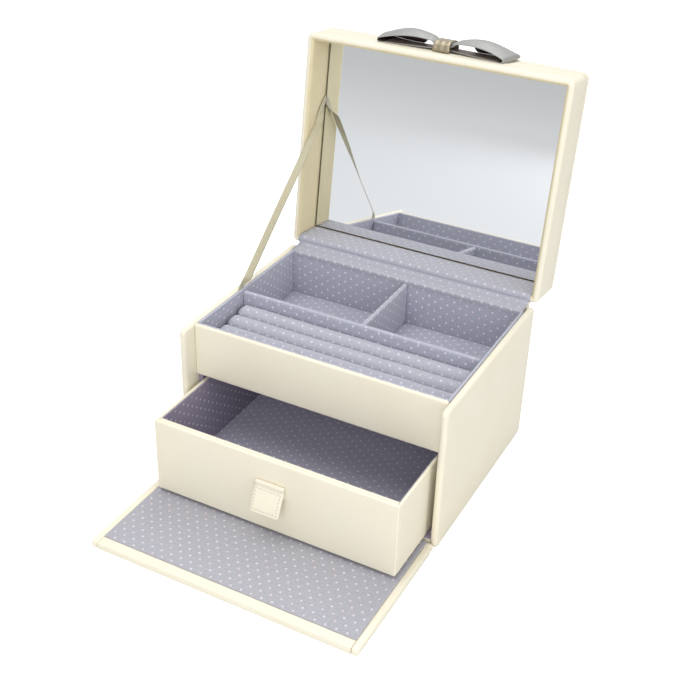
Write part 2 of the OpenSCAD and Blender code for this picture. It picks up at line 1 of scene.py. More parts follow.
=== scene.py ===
"""Looks of a padded vanity box with a mirror lid, a lined tray, a drawer and a front flap.

Every piece is built in millimetres in the frame of the CAD model and turned to metres when its
mesh is made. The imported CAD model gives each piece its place.
"""

from __future__ import annotations

import json
import logging
import math
from dataclasses import dataclass, replace
from enum import Enum
from functools import cache
from typing import Iterable, Optional, Sequence

import bmesh
import bpy
import numpy as np
from mathutils import Matrix, Vector, noise

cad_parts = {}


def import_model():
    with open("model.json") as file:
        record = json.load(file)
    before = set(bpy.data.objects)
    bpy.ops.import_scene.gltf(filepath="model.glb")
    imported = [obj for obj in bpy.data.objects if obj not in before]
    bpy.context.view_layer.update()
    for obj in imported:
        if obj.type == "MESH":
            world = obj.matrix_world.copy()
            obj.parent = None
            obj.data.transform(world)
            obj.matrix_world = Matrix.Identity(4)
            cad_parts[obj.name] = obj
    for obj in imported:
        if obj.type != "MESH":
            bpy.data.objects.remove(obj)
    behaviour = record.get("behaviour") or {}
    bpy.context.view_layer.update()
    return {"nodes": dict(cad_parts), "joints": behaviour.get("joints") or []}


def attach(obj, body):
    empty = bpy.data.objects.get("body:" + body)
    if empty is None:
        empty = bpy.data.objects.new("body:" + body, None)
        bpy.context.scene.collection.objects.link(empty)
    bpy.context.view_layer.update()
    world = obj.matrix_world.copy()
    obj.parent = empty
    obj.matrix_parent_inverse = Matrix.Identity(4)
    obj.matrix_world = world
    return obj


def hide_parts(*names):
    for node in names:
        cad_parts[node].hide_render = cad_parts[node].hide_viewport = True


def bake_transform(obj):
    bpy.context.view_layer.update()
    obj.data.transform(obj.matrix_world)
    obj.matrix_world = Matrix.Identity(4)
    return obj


LOG = logging.getLogger("vanity_box")
MM = 0.001
CLOTH_MAP = "cloth"
WHITE = (1.0, 1.0, 1.0, 1.0)
Colour = tuple[float, float, float, float]


class Body(str, Enum):
    """The moving groups of the CAD model."""

    CASE = "case"
    LID = "lid"
    FLAP = "flap"
    DRAWER = "drawer"


class Axis(int, Enum):
    """The direction in which a board is thin."""

    X = 0
    Y = 1
    Z = 2


class Slot(str, Enum):
    """The record's material slots, named where pieces are dressed but not given to them."""

    LEATHERETTE = "leatherette"
    FABRIC = "dotted_fabric"
    RIBBON = "ribbon_cream"
    SATIN = "satin"


class NodeLines:
    """Short calls that add and wire nodes in one tree."""

    def __init__(self, tree: bpy.types.NodeTree) -> None:
        """Keeps the tree.

        Args:
            tree: The node tree that the calls add to.
        """
        self.tree = tree
        self.count = 0

    def add(self, kind: str, inputs: Optional[dict] = None, **settings: object) -> bpy.types.Node:
        """Adds a node, sets its properties and feeds its inputs.

        Args:
            kind: The node's class name, such as ShaderNodeMath.
            inputs: Sockets or values, by the input's name or number.
            settings: Properties of the node.

        Returns:
            The new node.
        """
        made = self.tree.nodes.new(kind)
        made.location = (self.count * 40, -self.count * 30)
        self.count += 1
        for key, value in settings.items():
            setattr(made, key, value)
        for key, value in (inputs or {}).items():
            self.put(value, made.inputs[key])
        return made

    def put(self, value: object, socket: bpy.types.NodeSocket) -> None:
        """Links an output to a socket, or sets the socket's value.

        Args:
            value: An output socket, a number or a tuple.
            socket: The input that takes it.
        """
        if isinstance(value, bpy.types.NodeSocket):
            self.tree.links.new(value, socket)
        else:
            socket.default_value = value

    def math(self, operation: str, *values: object, clamp: bool = False) -> bpy.types.NodeSocket:
        """Adds a Math node.

        Args:
            operation: The node's operation.
            values: Its inputs, sockets or numbers.
            clamp: Whether the result is held between 0 and 1.

        Returns:
            The node's output.
        """
        return self.add("ShaderNodeMath", dict(enumerate(values)), operation=operation,
                        use_clamp=clamp).outputs[0]

    def scaled(self, value: object, factor: object, more: object) -> bpy.types.NodeSocket:
        """Multiplies a value and adds to the product.

        Args:
            value: The value.
            factor: What it is multiplied by.
            more: What is added.

        Returns:
            The sum.
        """
        return self.math("ADD", self.math("MULTIPLY", value, factor), more)

    def mix(self, share: object, low: object, high: object) -> bpy.types.NodeSocket:
        """Mixes two colours.

        Args:
            share: The share of the second colour.
            low: The first colour.
            high: The second colour.

        Returns:
            The mixed colour.
        """
        return self.add("ShaderNodeMix", {"Factor": share, 6: low, 7: high}, data_type="RGBA").outputs[2]

    def ramp(self, value: object, low: object, high: object) -> bpy.types.NodeSocket:
        """Smoothly steps a value from 0 to 1 between two limits.

        Args:
            value: The value.
            low: Where the step starts.
            high: Where the step ends.

        Returns:
            The stepped value.
        """
        return self.add("ShaderNodeMapRange", {"Value": value, "From Min": low, "From Max": high},
                        interpolation_type="SMOOTHSTEP").outputs["Result"]

    def noise(self, place: object, scale: object, detail: float) -> bpy.types.NodeSocket:
        """Adds a noise texture.

        Args:
            place: Where the texture is read.
            scale: Its scale.
            detail: Its detail.

        Returns:
            The noise, around one half.
        """
        return self.add("ShaderNodeTexNoise",
                        {"Vector": place, "Scale": scale, "Detail": detail}).outputs["Fac"]

    def bump(self, height: object, strength: float, depth: float) -> bpy.types.NodeSocket:
        """Turns a height into a normal.

        Args:
            height: The height.
            strength: The bump's strength.
            depth: The bump's depth in metres.

        Returns:
            The normal.
        """
        return self.add("ShaderNodeBump",
                        {"Strength": strength, "Distance": depth, "Height": height}).outputs[0]

    def split(self, vector: object) -> bpy.types.NodeOutputs:
        """Returns the X, Y and Z sockets of a vector."""
        return self.add("ShaderNodeSeparateXYZ", {0: vector}).outputs

    def group(self, tree: bpy.types.NodeTree, inputs: dict) -> bpy.types.NodeOutputs:
        """Places a shader group and returns its outputs.

        Args:
            tree: The group.
            inputs: Its inputs by name.

        Returns:
            The group node's outputs.
        """
        return self.add("ShaderNodeGroup", inputs, node_tree=tree).outputs

    def end(self, outputs: dict) -> bpy.types.NodeTree:
        """Feeds a group's outputs and returns its tree."""
        self.add("NodeGroupOutput", outputs)
        return self.tree


def start_group(name: str, kind: str, inputs: Sequence[tuple],
                outputs: Sequence[tuple]) -> tuple[NodeLines, bpy.types.NodeOutputs]:
    """Starts a node group.

    Args:
        name: The group's name.
        kind: Shader or Geometry.
        inputs: Name, kind and, if it has one, default value of each input.
        outputs: Name and kind of each output.

    Returns:
        The group's node helper and what its inputs give.
    """
    tree = bpy.data.node_groups.new(name, f"{kind}NodeTree")
    for way, sockets in (("INPUT", inputs), ("OUTPUT", outputs)):
        for label, shape, *value in sockets:
            made = tree.interface.new_socket(name=label, in_out=way, socket_type=f"NodeSocket{shape}")
            if value:
                made.default_value = value[0]
    lines = NodeLines(tree)
    return lines, lines.add("NodeGroupInput").outputs


@cache
def dot_lattice_group() -> bpy.types.NodeTree:
    """Builds the group that prints staggered small dots on a flat pattern in millimetres.

    Returns:
        The node group.
    """
    n, given = start_group(
        "dot_lattice", "Shader",
        [("Pattern", "Vector"), ("Pitch", "Float", 7.5), ("Row", "Float", 5.0), ("Radius", "Float", 0.6)],
        [("Mask", "Float"), ("Tint", "Float")])
    place = n.split(given["Pattern"])
    row_at = n.math("DIVIDE", place[1], given["Row"])
    row = n.math("FLOOR", row_at)
    shifted = n.scaled(n.math("FLOORED_MODULO", row, 2.0), 0.5,
                       n.math("DIVIDE", place[0], given["Pitch"]))
    dx, dy = [n.math("MULTIPLY", n.math("SUBTRACT", n.math("FRACT", at), 0.5), given[size])
              for at, size in ((shifted, "Pitch"), (row_at, "Row"))]
    far = n.math("SQRT", n.scaled(dx, dx, n.math("MULTIPLY", dy, dy)))
    inner, outer = [n.math("MULTIPLY", given["Radius"], share) for share in (0.72, 1.28)]
    mask = n.math("SUBTRACT", 1.0, n.ramp(far, inner, outer), clamp=True)
    cell = n.add("ShaderNodeCombineXYZ", {0: n.math("FLOOR", shifted), 1: row}).outputs[0]
    speck = n.add("ShaderNodeTexWhiteNoise", {"Vector": cell}, noise_dimensions="2D")
    return n.end({"Mask": mask, "Tint": speck.outputs["Value"]})


@cache
def weave_group() -> bpy.types.NodeTree:
    """Builds the group for a fine plain weave on a pattern in millimetres.

    Returns:
        The node group.
    """
    n, given = start_group("plain_weave", "Shader", [("Pattern", "Vector"), ("Thread", "Float", 0.35)],
                           [("Height", "Float"), ("Shade", "Float")])
    place = n.split(given["Pattern"])
    turns = n.math("DIVIDE", math.pi, given["Thread"])
    warp, weft = [n.math("SINE", n.math("MULTIPLY", place[k], turns)) for k in (0, 1)]
    height = n.scaled(n.math("MULTIPLY", warp, weft), 0.5, 0.5)
    return n.end({"Height": height, "Shade": n.noise(given["Pattern"], 0.5, 4.0)})


@cache
def grain_group() -> bpy.types.NodeTree:
    """Builds the group for a fine pebbled leatherette grain on object coordinates.

    Returns:
        The node group.
    """
    n, given = start_group("leather_grain", "Shader", [("Place", "Vector"), ("Cells", "Float", 900.0)],
                           [("Height", "Float"), ("Shade", "Float"), ("Crease", "Float")])
    place, size = given["Place"], given["Cells"]
    cells = n.add("ShaderNodeTexVoronoi", {"Vector": place, "Scale": size}, feature="SMOOTH_F1")
    fine = n.noise(place, n.math("MULTIPLY", size, 1.7), 3.0)
    height = n.scaled(cells.outputs["Distance"], 0.6, n.math("MULTIPLY", fine, 0.5))
    return n.end({"Height": height, "Shade": n.noise(place, 26.0, 3.0),
                  "Crease": n.noise(place, 90.0, 2.0)})


def start_material(name: str) -> tuple[bpy.types.Material, NodeLines, bpy.types.Node]:
    """Starts a material that holds one Principled BSDF.

    Args:
        name: The material's name.

    Returns:
        The material, its node helper and the shader.
    """
    material = bpy.data.materials.new(name)
    material.use_nodes = True
    material.node_tree.nodes.clear()
    lines = NodeLines(material.node_tree)
    shader = lines.add("ShaderNodeBsdfPrincipled")
    lines.add("ShaderNodeOutputMaterial", {0: shader.outputs[0]})
    return material, lines, shader


def toned(colour: Colour, factor: float) -> Colour:
    """Returns a colour made lighter or darker by a factor, and no lighter than white."""
    return tuple(min(1.0, c * factor) for c in colour[:3]) + (1.0,)


@dataclass(frozen=True)
class Finish:
    """What every finish has.

    Attributes:
        name: The material's name.
        colour: The main colour, linear.
    """

    name: str
    colour: Colour

    def build(self) -> bpy.types.Material:
        """Builds the material.

        Returns:
            The material.
        """
        material, lines, shader = start_material(self.name)
        for socket, value in self.looks(lines).items():
            lines.put(value, shader.inputs[socket])
        return material

    def looks(self, n: NodeLines) -> dict[str, object]:
        """Builds the nodes of the finish.

        Args:
            n: The material's node helper.

        Returns:
            What goes into the shader's inputs, by name.
        """
        return {"Base Color": self.colour}


@dataclass(frozen=True)
class Leatherette(Finish):
    """Cream grained leatherette over foam.

    Attributes:
        deep: The colour of the slightly yellowed patches, linear.
        roughness: The middle roughness.
    """

    deep: Colour
    roughness: float = 0.46

    def looks(self, n: NodeLines) -> dict[str, object]:
        """Builds grain, yellowed patches and fine creases."""
        place = n.add("ShaderNodeTexCoord").outputs["Object"]
        grain = n.group(grain_group(), {"Place": place, "Cells": 1100.0})
        patch = n.ramp(grain["Shade"], 0.35, 0.75)
        colour = n.mix(n.math("MULTIPLY", patch, 0.35), self.colour, self.deep)
        pits = n.math("SUBTRACT", 1.0, n.ramp(grain["Height"], 0.25, 0.5))
        height = n.scaled(grain["Height"], 0.35, n.math("MULTIPLY", grain["Crease"], 1.2))
        return {"Base Color": n.mix(n.math("MULTIPLY", pits, 0.35), colour, toned(self.colour, 0.93)),
                "Roughness": n.scaled(grain["Shade"], 0.1, self.roughness - 0.05),
                "Normal": n.bump(height, 0.35, 0.00022), "Specular IOR Level": 0.42}


@dataclass(frozen=True)
class DottedFabric(Finish):
    """Grey lavender cotton with a small staggered pin dot. It reads a UV map in millimetres.

    Attributes:
        dot: The dot's colour, linear.
        blush: The colour of the pinker dots, linear.
        radius: The dot's radius in millimetres.
        pitch: Distance between the dots of a row.
        row: Distance between the rows.
        turned: Whether the rows stand upright.
    """

    dot: Colour
    blush: Colour
    radius: float = 0.78
    pitch: float = 7.5
    row: float = 5.0
    turned: bool = False

    def looks(self, n: NodeLines) -> dict[str, object]:
        """Builds the woven ground and the printed dots."""
        pattern = n.add("ShaderNodeUVMap", uv_map=CLOTH_MAP).outputs[0]
        if self.turned:
            place = n.split(pattern)
            pattern = n.add("ShaderNodeCombineXYZ", {0: place[1], 1: place[0]}).outputs[0]
        dots = n.group(dot_lattice_group(), {"Pattern": pattern, "Pitch": self.pitch, "Row": self.row,
                                             "Radius": self.radius})
        weave = n.group(weave_group(), {"Pattern": pattern, "Thread": 0.3})
        darker = toned(self.colour, 0.93)
        ground = n.mix(n.ramp(weave["Shade"], 0.3, 0.7), darker, toned(self.colour, 1.05))
        ground = n.mix(n.math("MULTIPLY", weave["Height"], 0.2), ground, darker)
        ink = n.mix(n.ramp(dots["Tint"], 0.35, 0.75), self.dot, self.blush)
        height = n.scaled(weave["Height"], 0.6, n.math("MULTIPLY", dots["Mask"], 0.3))
        return {"Base Color": n.mix(dots["Mask"], ground, ink),
                "Roughness": n.scaled(weave["Height"], 0.12, 0.78),
                "Normal": n.bump(height, 0.3, 0.0001),
                "Sheen Weight": 0.12, "Sheen Roughness": 0.45, "Specular IOR Level": 0.25}


@dataclass(frozen=True)
class Satin(Finish):
    """Closely ribbed satin band. It reads a UV map in millimetres.

    Attributes:
        shade: The colour between the ribs, linear.
        roughness: The roughness.
        sheen: The sheen's weight.
        metallic: How metallic it looks.
    """

    shade: Colour
    roughness: float = 0.34
    sheen: float = 0.25
    metallic: float = 0.0

    def looks(self, n: NodeLines) -> dict[str, object]:
        """Builds the ribs and the weave."""
        pattern = n.add("ShaderNodeUVMap", uv_map=CLOTH_MAP).outputs[0]
        weave = n.group(weave_group(), {"Pattern": pattern, "Thread": 0.18})
        rib = n.scaled(n.math("SINE", n.math("MULTIPLY", n.split(pattern)[0], 14.0)), 0.5, 0.5)
        worn = n.math("MULTIPLY", n.ramp(weave["Shade"], 0.3, 0.7), 0.5)
        colour = n.mix(worn, self.colour, self.shade)
        height = n.scaled(rib, 0.6, n.math("MULTIPLY", weave["Height"], 0.4))
        return {"Base Color": n.mix(n.math("MULTIPLY", rib, 0.25), colour, self.shade),
                "Roughness": n.scaled(weave["Shade"], 0.12, self.roughness),
                "Normal": n.bump(height, 0.25, 0.00008),
                "Sheen Weight": self.sheen, "Metallic": self.metallic}


@dataclass(frozen=True)
class MirrorGlass(Finish):
    """Silvered glass, slightly bowed in its frame.

    Attributes:
        bowed: How far its face leans from flat, as a slope.
    """

    bowed: float = 0.0125

    def looks(self, n: NodeLines) -> dict[str, object]:
        """Builds faint unevenness in the polish and the face's lean."""
        haze = n.noise(n.add("ShaderNodeTexCoord").outputs["Object"], 14.0, 3.0)
        bow = n.add("ShaderNodeVectorTransform", {0: (0.0, 0.0, self.bowed)}, vector_type="VECTOR",
                    convert_from="OBJECT", convert_to="WORLD")
        face = n.add("ShaderNodeNewGeometry").outputs["Normal"]
        leaned = n.add("ShaderNodeVectorMath", {0: face, 1: bow.outputs[0]}, operation="ADD")
        level = n.add("ShaderNodeVectorMath", {0: leaned.outputs[0]}, operation="NORMALIZE")
        return {"Base Color": n.mix(haze, self.colour, toned(self.colour, 0.985)),
                "Roughness": n.scaled(haze, 0.02, 0.012),
                "Metallic": 1.0, "Normal": level.outputs[0]}


@dataclass(frozen=True)
class Paperboard(Finish):
    """Plain grey-brown board behind linings."""

    def looks(self, n: NodeLines) -> dict[str, object]:
        """Builds the speckled fibre."""
        fibre = n.noise(n.add("ShaderNodeTexCoord").outputs["Object"], 700.0, 5.0)
        return {"Base Color": n.mix(fibre, self.colour, toned(self.colour, 0.8)),
                "Roughness": n.scaled(fibre, 0.2, 0.75), "Normal": n.bump(fibre, 0.3, 0.0001)}


PALETTE: tuple[Finish, ...] = (
    Leatherette("cream_leatherette", (0.84, 0.79, 0.65, 1), (0.80, 0.735, 0.56, 1)),
    # Darker, yellower copy of the cream leatherette: painted shade on the inner faces of the lid's walls.
    Leatherette("cream_leatherette_painted_shade", (0.71, 0.63, 0.41, 1), (0.66, 0.565, 0.33, 1)),
    DottedFabric("lavender_dots", (0.455, 0.46, 0.54, 1), (0.80, 0.79, 0.85, 1), (0.77, 0.67, 0.72, 1),
                 turned=True),
    # Lighter copy of the lining fabric with white dots: painted light on the drawer's floor.
    DottedFabric("drawer_floor_dots_painted_light", (0.62, 0.62, 0.74, 1), WHITE, (1.0, 0.93, 0.97, 1), radius=0.85,
                 turned=True),
    DottedFabric("pale_lavender_dots", (0.44, 0.445, 0.51, 1), (0.66, 0.655, 0.69, 1),
                 (0.65, 0.58, 0.62, 1)),
    DottedFabric("flap_dots", (0.405, 0.405, 0.45, 1), (0.66, 0.645, 0.68, 1), (0.64, 0.56, 0.60, 1)),
    # Darker copy of the lining fabric: painted shade for the drawer bay and the drawer's walls.
    DottedFabric("lavender_dots_painted_shade", (0.30, 0.27, 0.36, 1), (0.74, 0.66, 0.72, 1),
                 (0.66, 0.46, 0.52, 1), turned=True),
    Satin("pewter_satin", (0.33, 0.335, 0.325, 1), (0.285, 0.29, 0.28, 1), 0.44, 0.08, 0.2),
    # Darker, browner copy of the pewter satin: painted shade with a warm cast on the inner faces of the
    # loops' lower bands.
    Satin("pewter_satin_lower_painted_shade", (0.36, 0.29, 0.245, 1), (0.29, 0.23, 0.19, 1), 0.36, 0.05, 0.3),
    # Near-black copy of the pewter satin: painted shade inside the loops, on the fold and the upper band's
    # underside.
    Satin("pewter_satin_inside_painted_shade", (0.07, 0.045, 0.04, 1), (0.045, 0.03, 0.025, 1), 0.5, 0.0),
    # Gold-tinted copy of the pewter satin: painted reflection of the cream lid on the knot.
    Satin("knot_satin_painted_reflection", (0.345, 0.30, 0.215, 1), (0.27, 0.225, 0.15, 1), 0.28, 0.1, 0.5),
    Satin("cream_ribbon", (0.50, 0.465, 0.335, 1), (0.44, 0.40, 0.26, 1), 0.5, 0.1),
    Satin("stitch_thread", (0.40, 0.35, 0.32, 1), (0.32, 0.28, 0.26, 1), 0.6, 0.0),
    MirrorGlass("mirror_silver", (0.90, 0.915, 0.925, 1)),
    Paperboard("paperboard", (0.34, 0.30, 0.25, 1)),
)


def clamp(value: float) -> float:
    """Returns a value held between 0 and 1."""
    return min(1.0, max(0.0, value))


def ease(value: float) -> float:
    """Returns a value held between 0 and 1 that starts and stops softly."""
    value = clamp(value)
    return value * value * (3 - 2 * value)


def run_along(path: np.ndarray) -> np.ndarray:
    """Returns how far along a path each of its points is."""
    return np.concatenate([[0], np.cumsum(np.linalg.norm(np.diff(path, axis=0), axis=1))])


def left_of(path: np.ndarray) -> np.ndarray:
    """Returns the direction to the left of a flat path, or of each of several side by side."""
    tangent = np.gradient(path, axis=0)
    tangent /= np.linalg.norm(tangent, axis=-1)[..., None]
    return np.stack([-tangent[..., 1], tangent[..., 0]], -1)


def rounded(radius: float, height: float, degrees: Sequence[float]) -> list[tuple[float, float]]:
    """Draws a round edge as pairs of inset and height.

    Args:
        radius: The edge's radius.
        height: Where the rounding starts.
        degrees: The angles, 0 where it starts and 90 at its crest.

    Returns:
        The pairs.
    """
    return [(radius * (1 - math.cos(a)), height + radius * math.sin(a)) for a in np.radians(degrees)]


def raised(flat: np.ndarray, height: float) -> np.ndarray:
    """Returns a flat outline at a height."""
    return np.column_stack([flat, np.full(len(flat), height)])


def new_object(name: str, data: object) -> bpy.types.Object:
    """Makes an object and puts it in the scene."""
    made = bpy.data.objects.new(name, data)
    bpy.context.scene.collection.objects.link(made)
    return made


@dataclass(frozen=True)
class Placing:
    """A frame in which pieces are drawn, as a 4 by 4 matrix in millimetres."""

    matrix: np.ndarray

    @staticmethod
    def row() -> "Placing":
        """Returns the CAD model's own frame."""
        return Placing(np.eye(4))

    @staticmethod
    def lid(pivot: Sequence[float], open_deg: float) -> "Placing":
        """Returns the lid's closed-lid coordinates, put into the open pose.

        Args:
            pivot: The hinge line's y and z in millimetres.
            open_deg: How far the lid is open.

        Returns:
            The placing.
        """
        a = math.radians(-open_deg)
        m = np.eye(4)
        m[1, 1], m[1, 2], m[2, 1], m[2, 2] = math.cos(a), -math.sin(a), math.sin(a), math.cos(a)
        m[1, 3], m[2, 3] = pivot
        return Placing(m)

    def out(self, points: np.ndarray) -> np.ndarray:
        """Takes points from this frame to the row's frame."""
        return points @ self.matrix[:3, :3].T + self.matrix[:3, 3]

    def into(self, points: np.ndarray) -> np.ndarray:
        """Takes points from the row's frame into this frame."""
        return (points - self.matrix[:3, 3]) @ self.matrix[:3, :3]


def node_box(node: bpy.types.Object, placing: Placing) -> tuple[np.ndarray, np.ndarray]:
    """Measures a CAD node in a frame.

    Args:
        node: The node's object.
        placing: The frame.

    Returns:
        Its lowest and highest corner in millimetres.
    """
    co = np.zeros(len(node.data.vertices) * 3)
    node.data.vertices.foreach_get("co", co)
    local = placing.into(co.reshape(-1, 3) / MM)
    return local.min(0), local.max(0)


def make_mesh(name: str, points: np.ndarray, faces: Sequence[Sequence[int]], placing: Placing,
              uv: Optional[np.ndarray] = None, smooth: bool = True) -> bpy.types.Object:
    """Makes a piece from points in a frame.

    Args:
        name: The piece's name.
        points: Its points in millimetres.
        faces: Its faces.
        placing: The frame that the points are in.
        uv: The pattern's place at each point in millimetres. Without it, each face is laid flat.
        smooth: Whether it is shaded smooth.

    Returns:
        The new object.
    """
    mesh = bpy.data.meshes.new(name)
    mesh.from_pydata([tuple(p) for p in placing.out(points) * MM], [], [tuple(f) for f in faces])
    layer = mesh.uv_layers.new(name=CLOTH_MAP)
    if uv is None:
        laid = flat_pattern(points, faces)
        layer.data.foreach_set("uv", laid.ravel())
    else:
        order = np.array([i for f in faces for i in f])
        layer.data.foreach_set("uv", np.asarray(uv)[order].ravel())
    made = new_object(name, mesh)
    edit = bmesh.new()
    edit.from_mesh(mesh)
    bmesh.ops.recalc_face_normals(edit, faces=edit.faces)
    edit.to_mesh(mesh)
    edit.free()
    mesh.polygons.foreach_set("use_smooth", [smooth] * len(mesh.polygons))
    mesh.update()
    return made


def flat_pattern(points: np.ndarray, faces: Sequence[Sequence[int]]) -> np.ndarray:
    """Lays each face flat along the axis that it faces most.

    Args:
        points: The points in millimetres.
        faces: The faces.

    Returns:
        One place in the pattern for each corner of each face.
    """
    laid = []
    for face in faces:
        corner = points[list(face)]
        nxt = np.roll(corner, -1, 0)
        normal = np.abs(np.cross(corner, nxt).sum(0))
        axis = int(normal.argmax())
        pick = [(1, 2), (0, 2), (0, 1)][axis]
        laid.append(corner[:, pick])
    return np.concatenate(laid)


def ring(half: Sequence[float], radii: Sequence[float], inset: float, arc: int, side: int) -> np.ndarray:
    """Draws a rounded rectangle.

    Args:
        half: Half its width and half its height.
        radii: Its corner radii, from high right round to low right, anticlockwise.
        inset: How far it is drawn inside that outline.
        arc: Steps in a corner.
        side: Steps along a side.

    Returns:
        Its points, with the same number for every inset.
    """
    a, b = half[0] - inset, half[1] - inset
    corners = []
    for (sx, sy, start), r in zip(((1, 1, 0), (-1, 1, 90), (-1, -1, 180), (1, -1, 270)), radii):
        r = max(r - inset, 0.02)
        angle = np.radians(start + 90 * np.arange(arc + 1) / arc)
        corners.append(np.stack([sx * (a - r) + r * np.cos(angle), sy * (b - r) + r * np.sin(angle)], 1))
    out = []
    for i in range(4):
        out.append(corners[i])
        here, there = corners[i][-1], corners[(i + 1) % 4][0]
        share = (np.arange(1, side) / side)[:, None]
        out.append(here * (1 - share) + there * share)
    return np.concatenate(out)


def loft(rings: Sequence[np.ndarray], closed: bool) -> tuple[np.ndarray, list[tuple[int, ...]]]:
    """Joins rings of equal length into a shell.

    Args:
        rings: The rings, each an array of points.
        closed: Whether the last ring joins the first. If not, both ends get a cap.

    Returns:
        The points and faces.
    """
    count = len(rings[0])
    faces: list[tuple[int, ...]] = []
    last = len(rings) if closed else len(rings) - 1
    for k in range(last):
        a, b = k * count, ((k + 1) % len(rings)) * count
        for i in range(count):
            j = (i + 1) % count
            faces.append((a + i, a + j, b + j, b + i))
    if not closed:
        faces.append(tuple(range(count - 1, -1, -1)))
        faces.append(tuple((len(rings) - 1) * count + i for i in range(count)))
    return np.concatenate(rings), faces


@dataclass(frozen=True)
class Wrap:
    """How a board is wrapped.

    Attributes:
        edge: Radius of its edges.
        corners: Radii of its outline's corners.
        crown: How far the padding lifts the middle of each broad face.
        swell: How far in from the edge the padding rises.
        wobble: Height of the unevenness of its faces.
    """

    edge: float = 0.8
    corners: tuple[float, float, float, float] = (1.0, 1.0, 1.0, 1.0)
    crown: float = 0.0
    swell: float = 8.0
    wobble: float = 0.04


def wrapped_board(name: str, low: np.ndarray, high: np.ndarray, thin: Axis, wrap: Wrap,
                  placing: Placing) -> bpy.types.Object:
    """Builds a padded board with rounded edges in a box.

    Args:
        name: The piece's name.
        low: The box's lowest corner in millimetres.
        high: The box's highest corner.
        thin: The direction in which the board is thin.
        wrap: Its edges, corners and padding.
        placing: The frame of the box.

    Returns:
        The new object.
    """
    pick = [[1, 2, 0], [0, 2, 1], [0, 1, 2]][thin]
    middle, half = (low + high) / 2, (high - low) / 2
    wide, tall, deep = half[pick]
    edge = min(wrap.edge, deep * 0.999)
    top = rounded(edge, deep - edge, (90, 72, 54, 36, 18, 0))
    reach = min(wrap.swell, 0.45 * min(wide, tall))
    steps = [edge + (reach - edge) * s for s in (0.2, 0.45, 0.7, 1.0)] if reach > edge * 1.3 else []
    rise = [wrap.crown * (0.5 - 0.5 * math.cos(math.pi * s)) for s in (0.2, 0.45, 0.7, 1.0)]
    upper = [(d, deep + z) for d, z in zip(steps, rise)][::-1] + top
    profile = upper + [(d, -z) for d, z in upper[::-1]]
    rings = [raised(ring((wide, tall), wrap.corners, inset, 6, 14), height) for inset, height in profile]
    points, faces = loft(rings, closed=False)
    if wrap.wobble:
        for i, p in enumerate(points):
            spot = Vector((p[0] * 0.045, p[1] * 0.045, name_seed(name)))
            points[i, 2] += wrap.wobble * noise.noise(spot) * (1 if p[2] > 0 else -1)
    placed = np.zeros_like(points)
    for k in range(3):
        placed[:, pick[k]] = points[:, k]
    return make_mesh(name, placed + middle, faces, placing)


def name_seed(name: str) -> float:
    """Returns a fixed number for a name, so that pieces don't share their unevenness."""
    return sum(ord(c) * (i + 1) for i, c in enumerate(name)) % 97 * 1.37


def extruded_cloth(name: str, path: np.ndarray, width: float, thickness: float,
                   placing: Placing, wobble: float = 0.0) -> bpy.types.Object:
    """Builds a strip of cloth that follows a path in the Y-Z plane and runs along X.

    Args:
        name: The piece's name.
        path: The path's points, y and z, in millimetres.
        width: The strip's width along X.
        thickness: Its thickness, added on the left of the path.
        placing: The frame of the path.
        wobble: Height of its unevenness.

    Returns:
        The new object.
    """
    steps, seed = 60, name_seed(name)
    smooth = round_path(path)
    run, normal, count = run_along(smooth), left_of(smooth), len(smooth)
    points, uv = [], []
    for side in (0.0, 1.0):
        for x in width * (np.arange(steps + 1) / steps - 0.5):
            for i in range(count):
                lift = wobble * noise.noise(Vector((x * 0.06, run[i] * 0.12, seed)))
                spot = smooth[i] + normal[i] * (thickness * side + lift)
                points.append((x, spot[0], spot[1]))
                uv.append((x, run[i]))
    faces = []
    block = count * (steps + 1)
    for s in range(steps):
        for i in range(count - 1):
            a = s * count + i
            faces.append((a, a + 1, a + 1 + count, a + count))
            faces.append((block + a, block + a + count, block + a + 1 + count, block + a + 1))
    for s in range(steps):
        for i in (0, count - 1):
            a = s * count + i
            faces.append((a, a + count, block + a + count, block + a))
    for s in (0, steps):
        for i in range(count - 1):
            a = s * count + i
            faces.append((a, block + a, block + a + 1, a + 1))
    return make_mesh(name, np.array(points), faces, placing, uv=np.array(uv))


def loft_mesh(name: str, rings: Sequence[np.ndarray], uvs: Sequence[np.ndarray],
              placing: Placing) -> bpy.types.Object:
    """Builds a capped piece from rings and the pattern's place on each of them.

    Args:
        name: The piece's name.
        rings: The rings.
        uvs: The pattern's place at each ring's points, in millimetres.
        placing: The frame of the rings.

    Returns:
        The new object.
    """
    points, faces = loft(rings, closed=False)
    return make_mesh(name, points, faces, placing, uv=np.concatenate(uvs))


def round_path(path: np.ndarray, times: int = 3) -> np.ndarray:
    """Rounds a path by cutting its corners.

    Args:
        path: The path's points.
        times: How often the corners are cut.

    Returns:
        The rounded path, with the same ends.
    """
    for _ in range(times):
        inner = []
        for a, b in zip(path[:-1], path[1:]):
            inner += [a * 0.75 + b * 0.25, a * 0.25 + b * 0.75]
        path = np.array([path[0]] + inner + [path[-1]])
    return path


def dress(piece: bpy.types.Object, body: Body, material: bpy.types.Material, slot: Slot,
          nodes: Iterable[str] = ()) -> bpy.types.Object:
    """Gives a piece its finish and ties it to its body.

    Args:
        piece: The piece.
        body: The CAD body that it moves with.
        material: Its finish.
        slot: The record's slot for the finish; not used.
        nodes: The CAD nodes that it stands for.

    Returns:
        The piece.
    """
    if piece.data.materials:
        piece.data.materials[0] = material
    else:
        piece.data.materials.append(material)
    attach(piece, body.value)
    names = list(nodes)
    if names:
        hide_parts(*names)
    LOG.info("%s rides on %s, %d faces", piece.name, body.value, len(piece.data.polygons))
    return piece


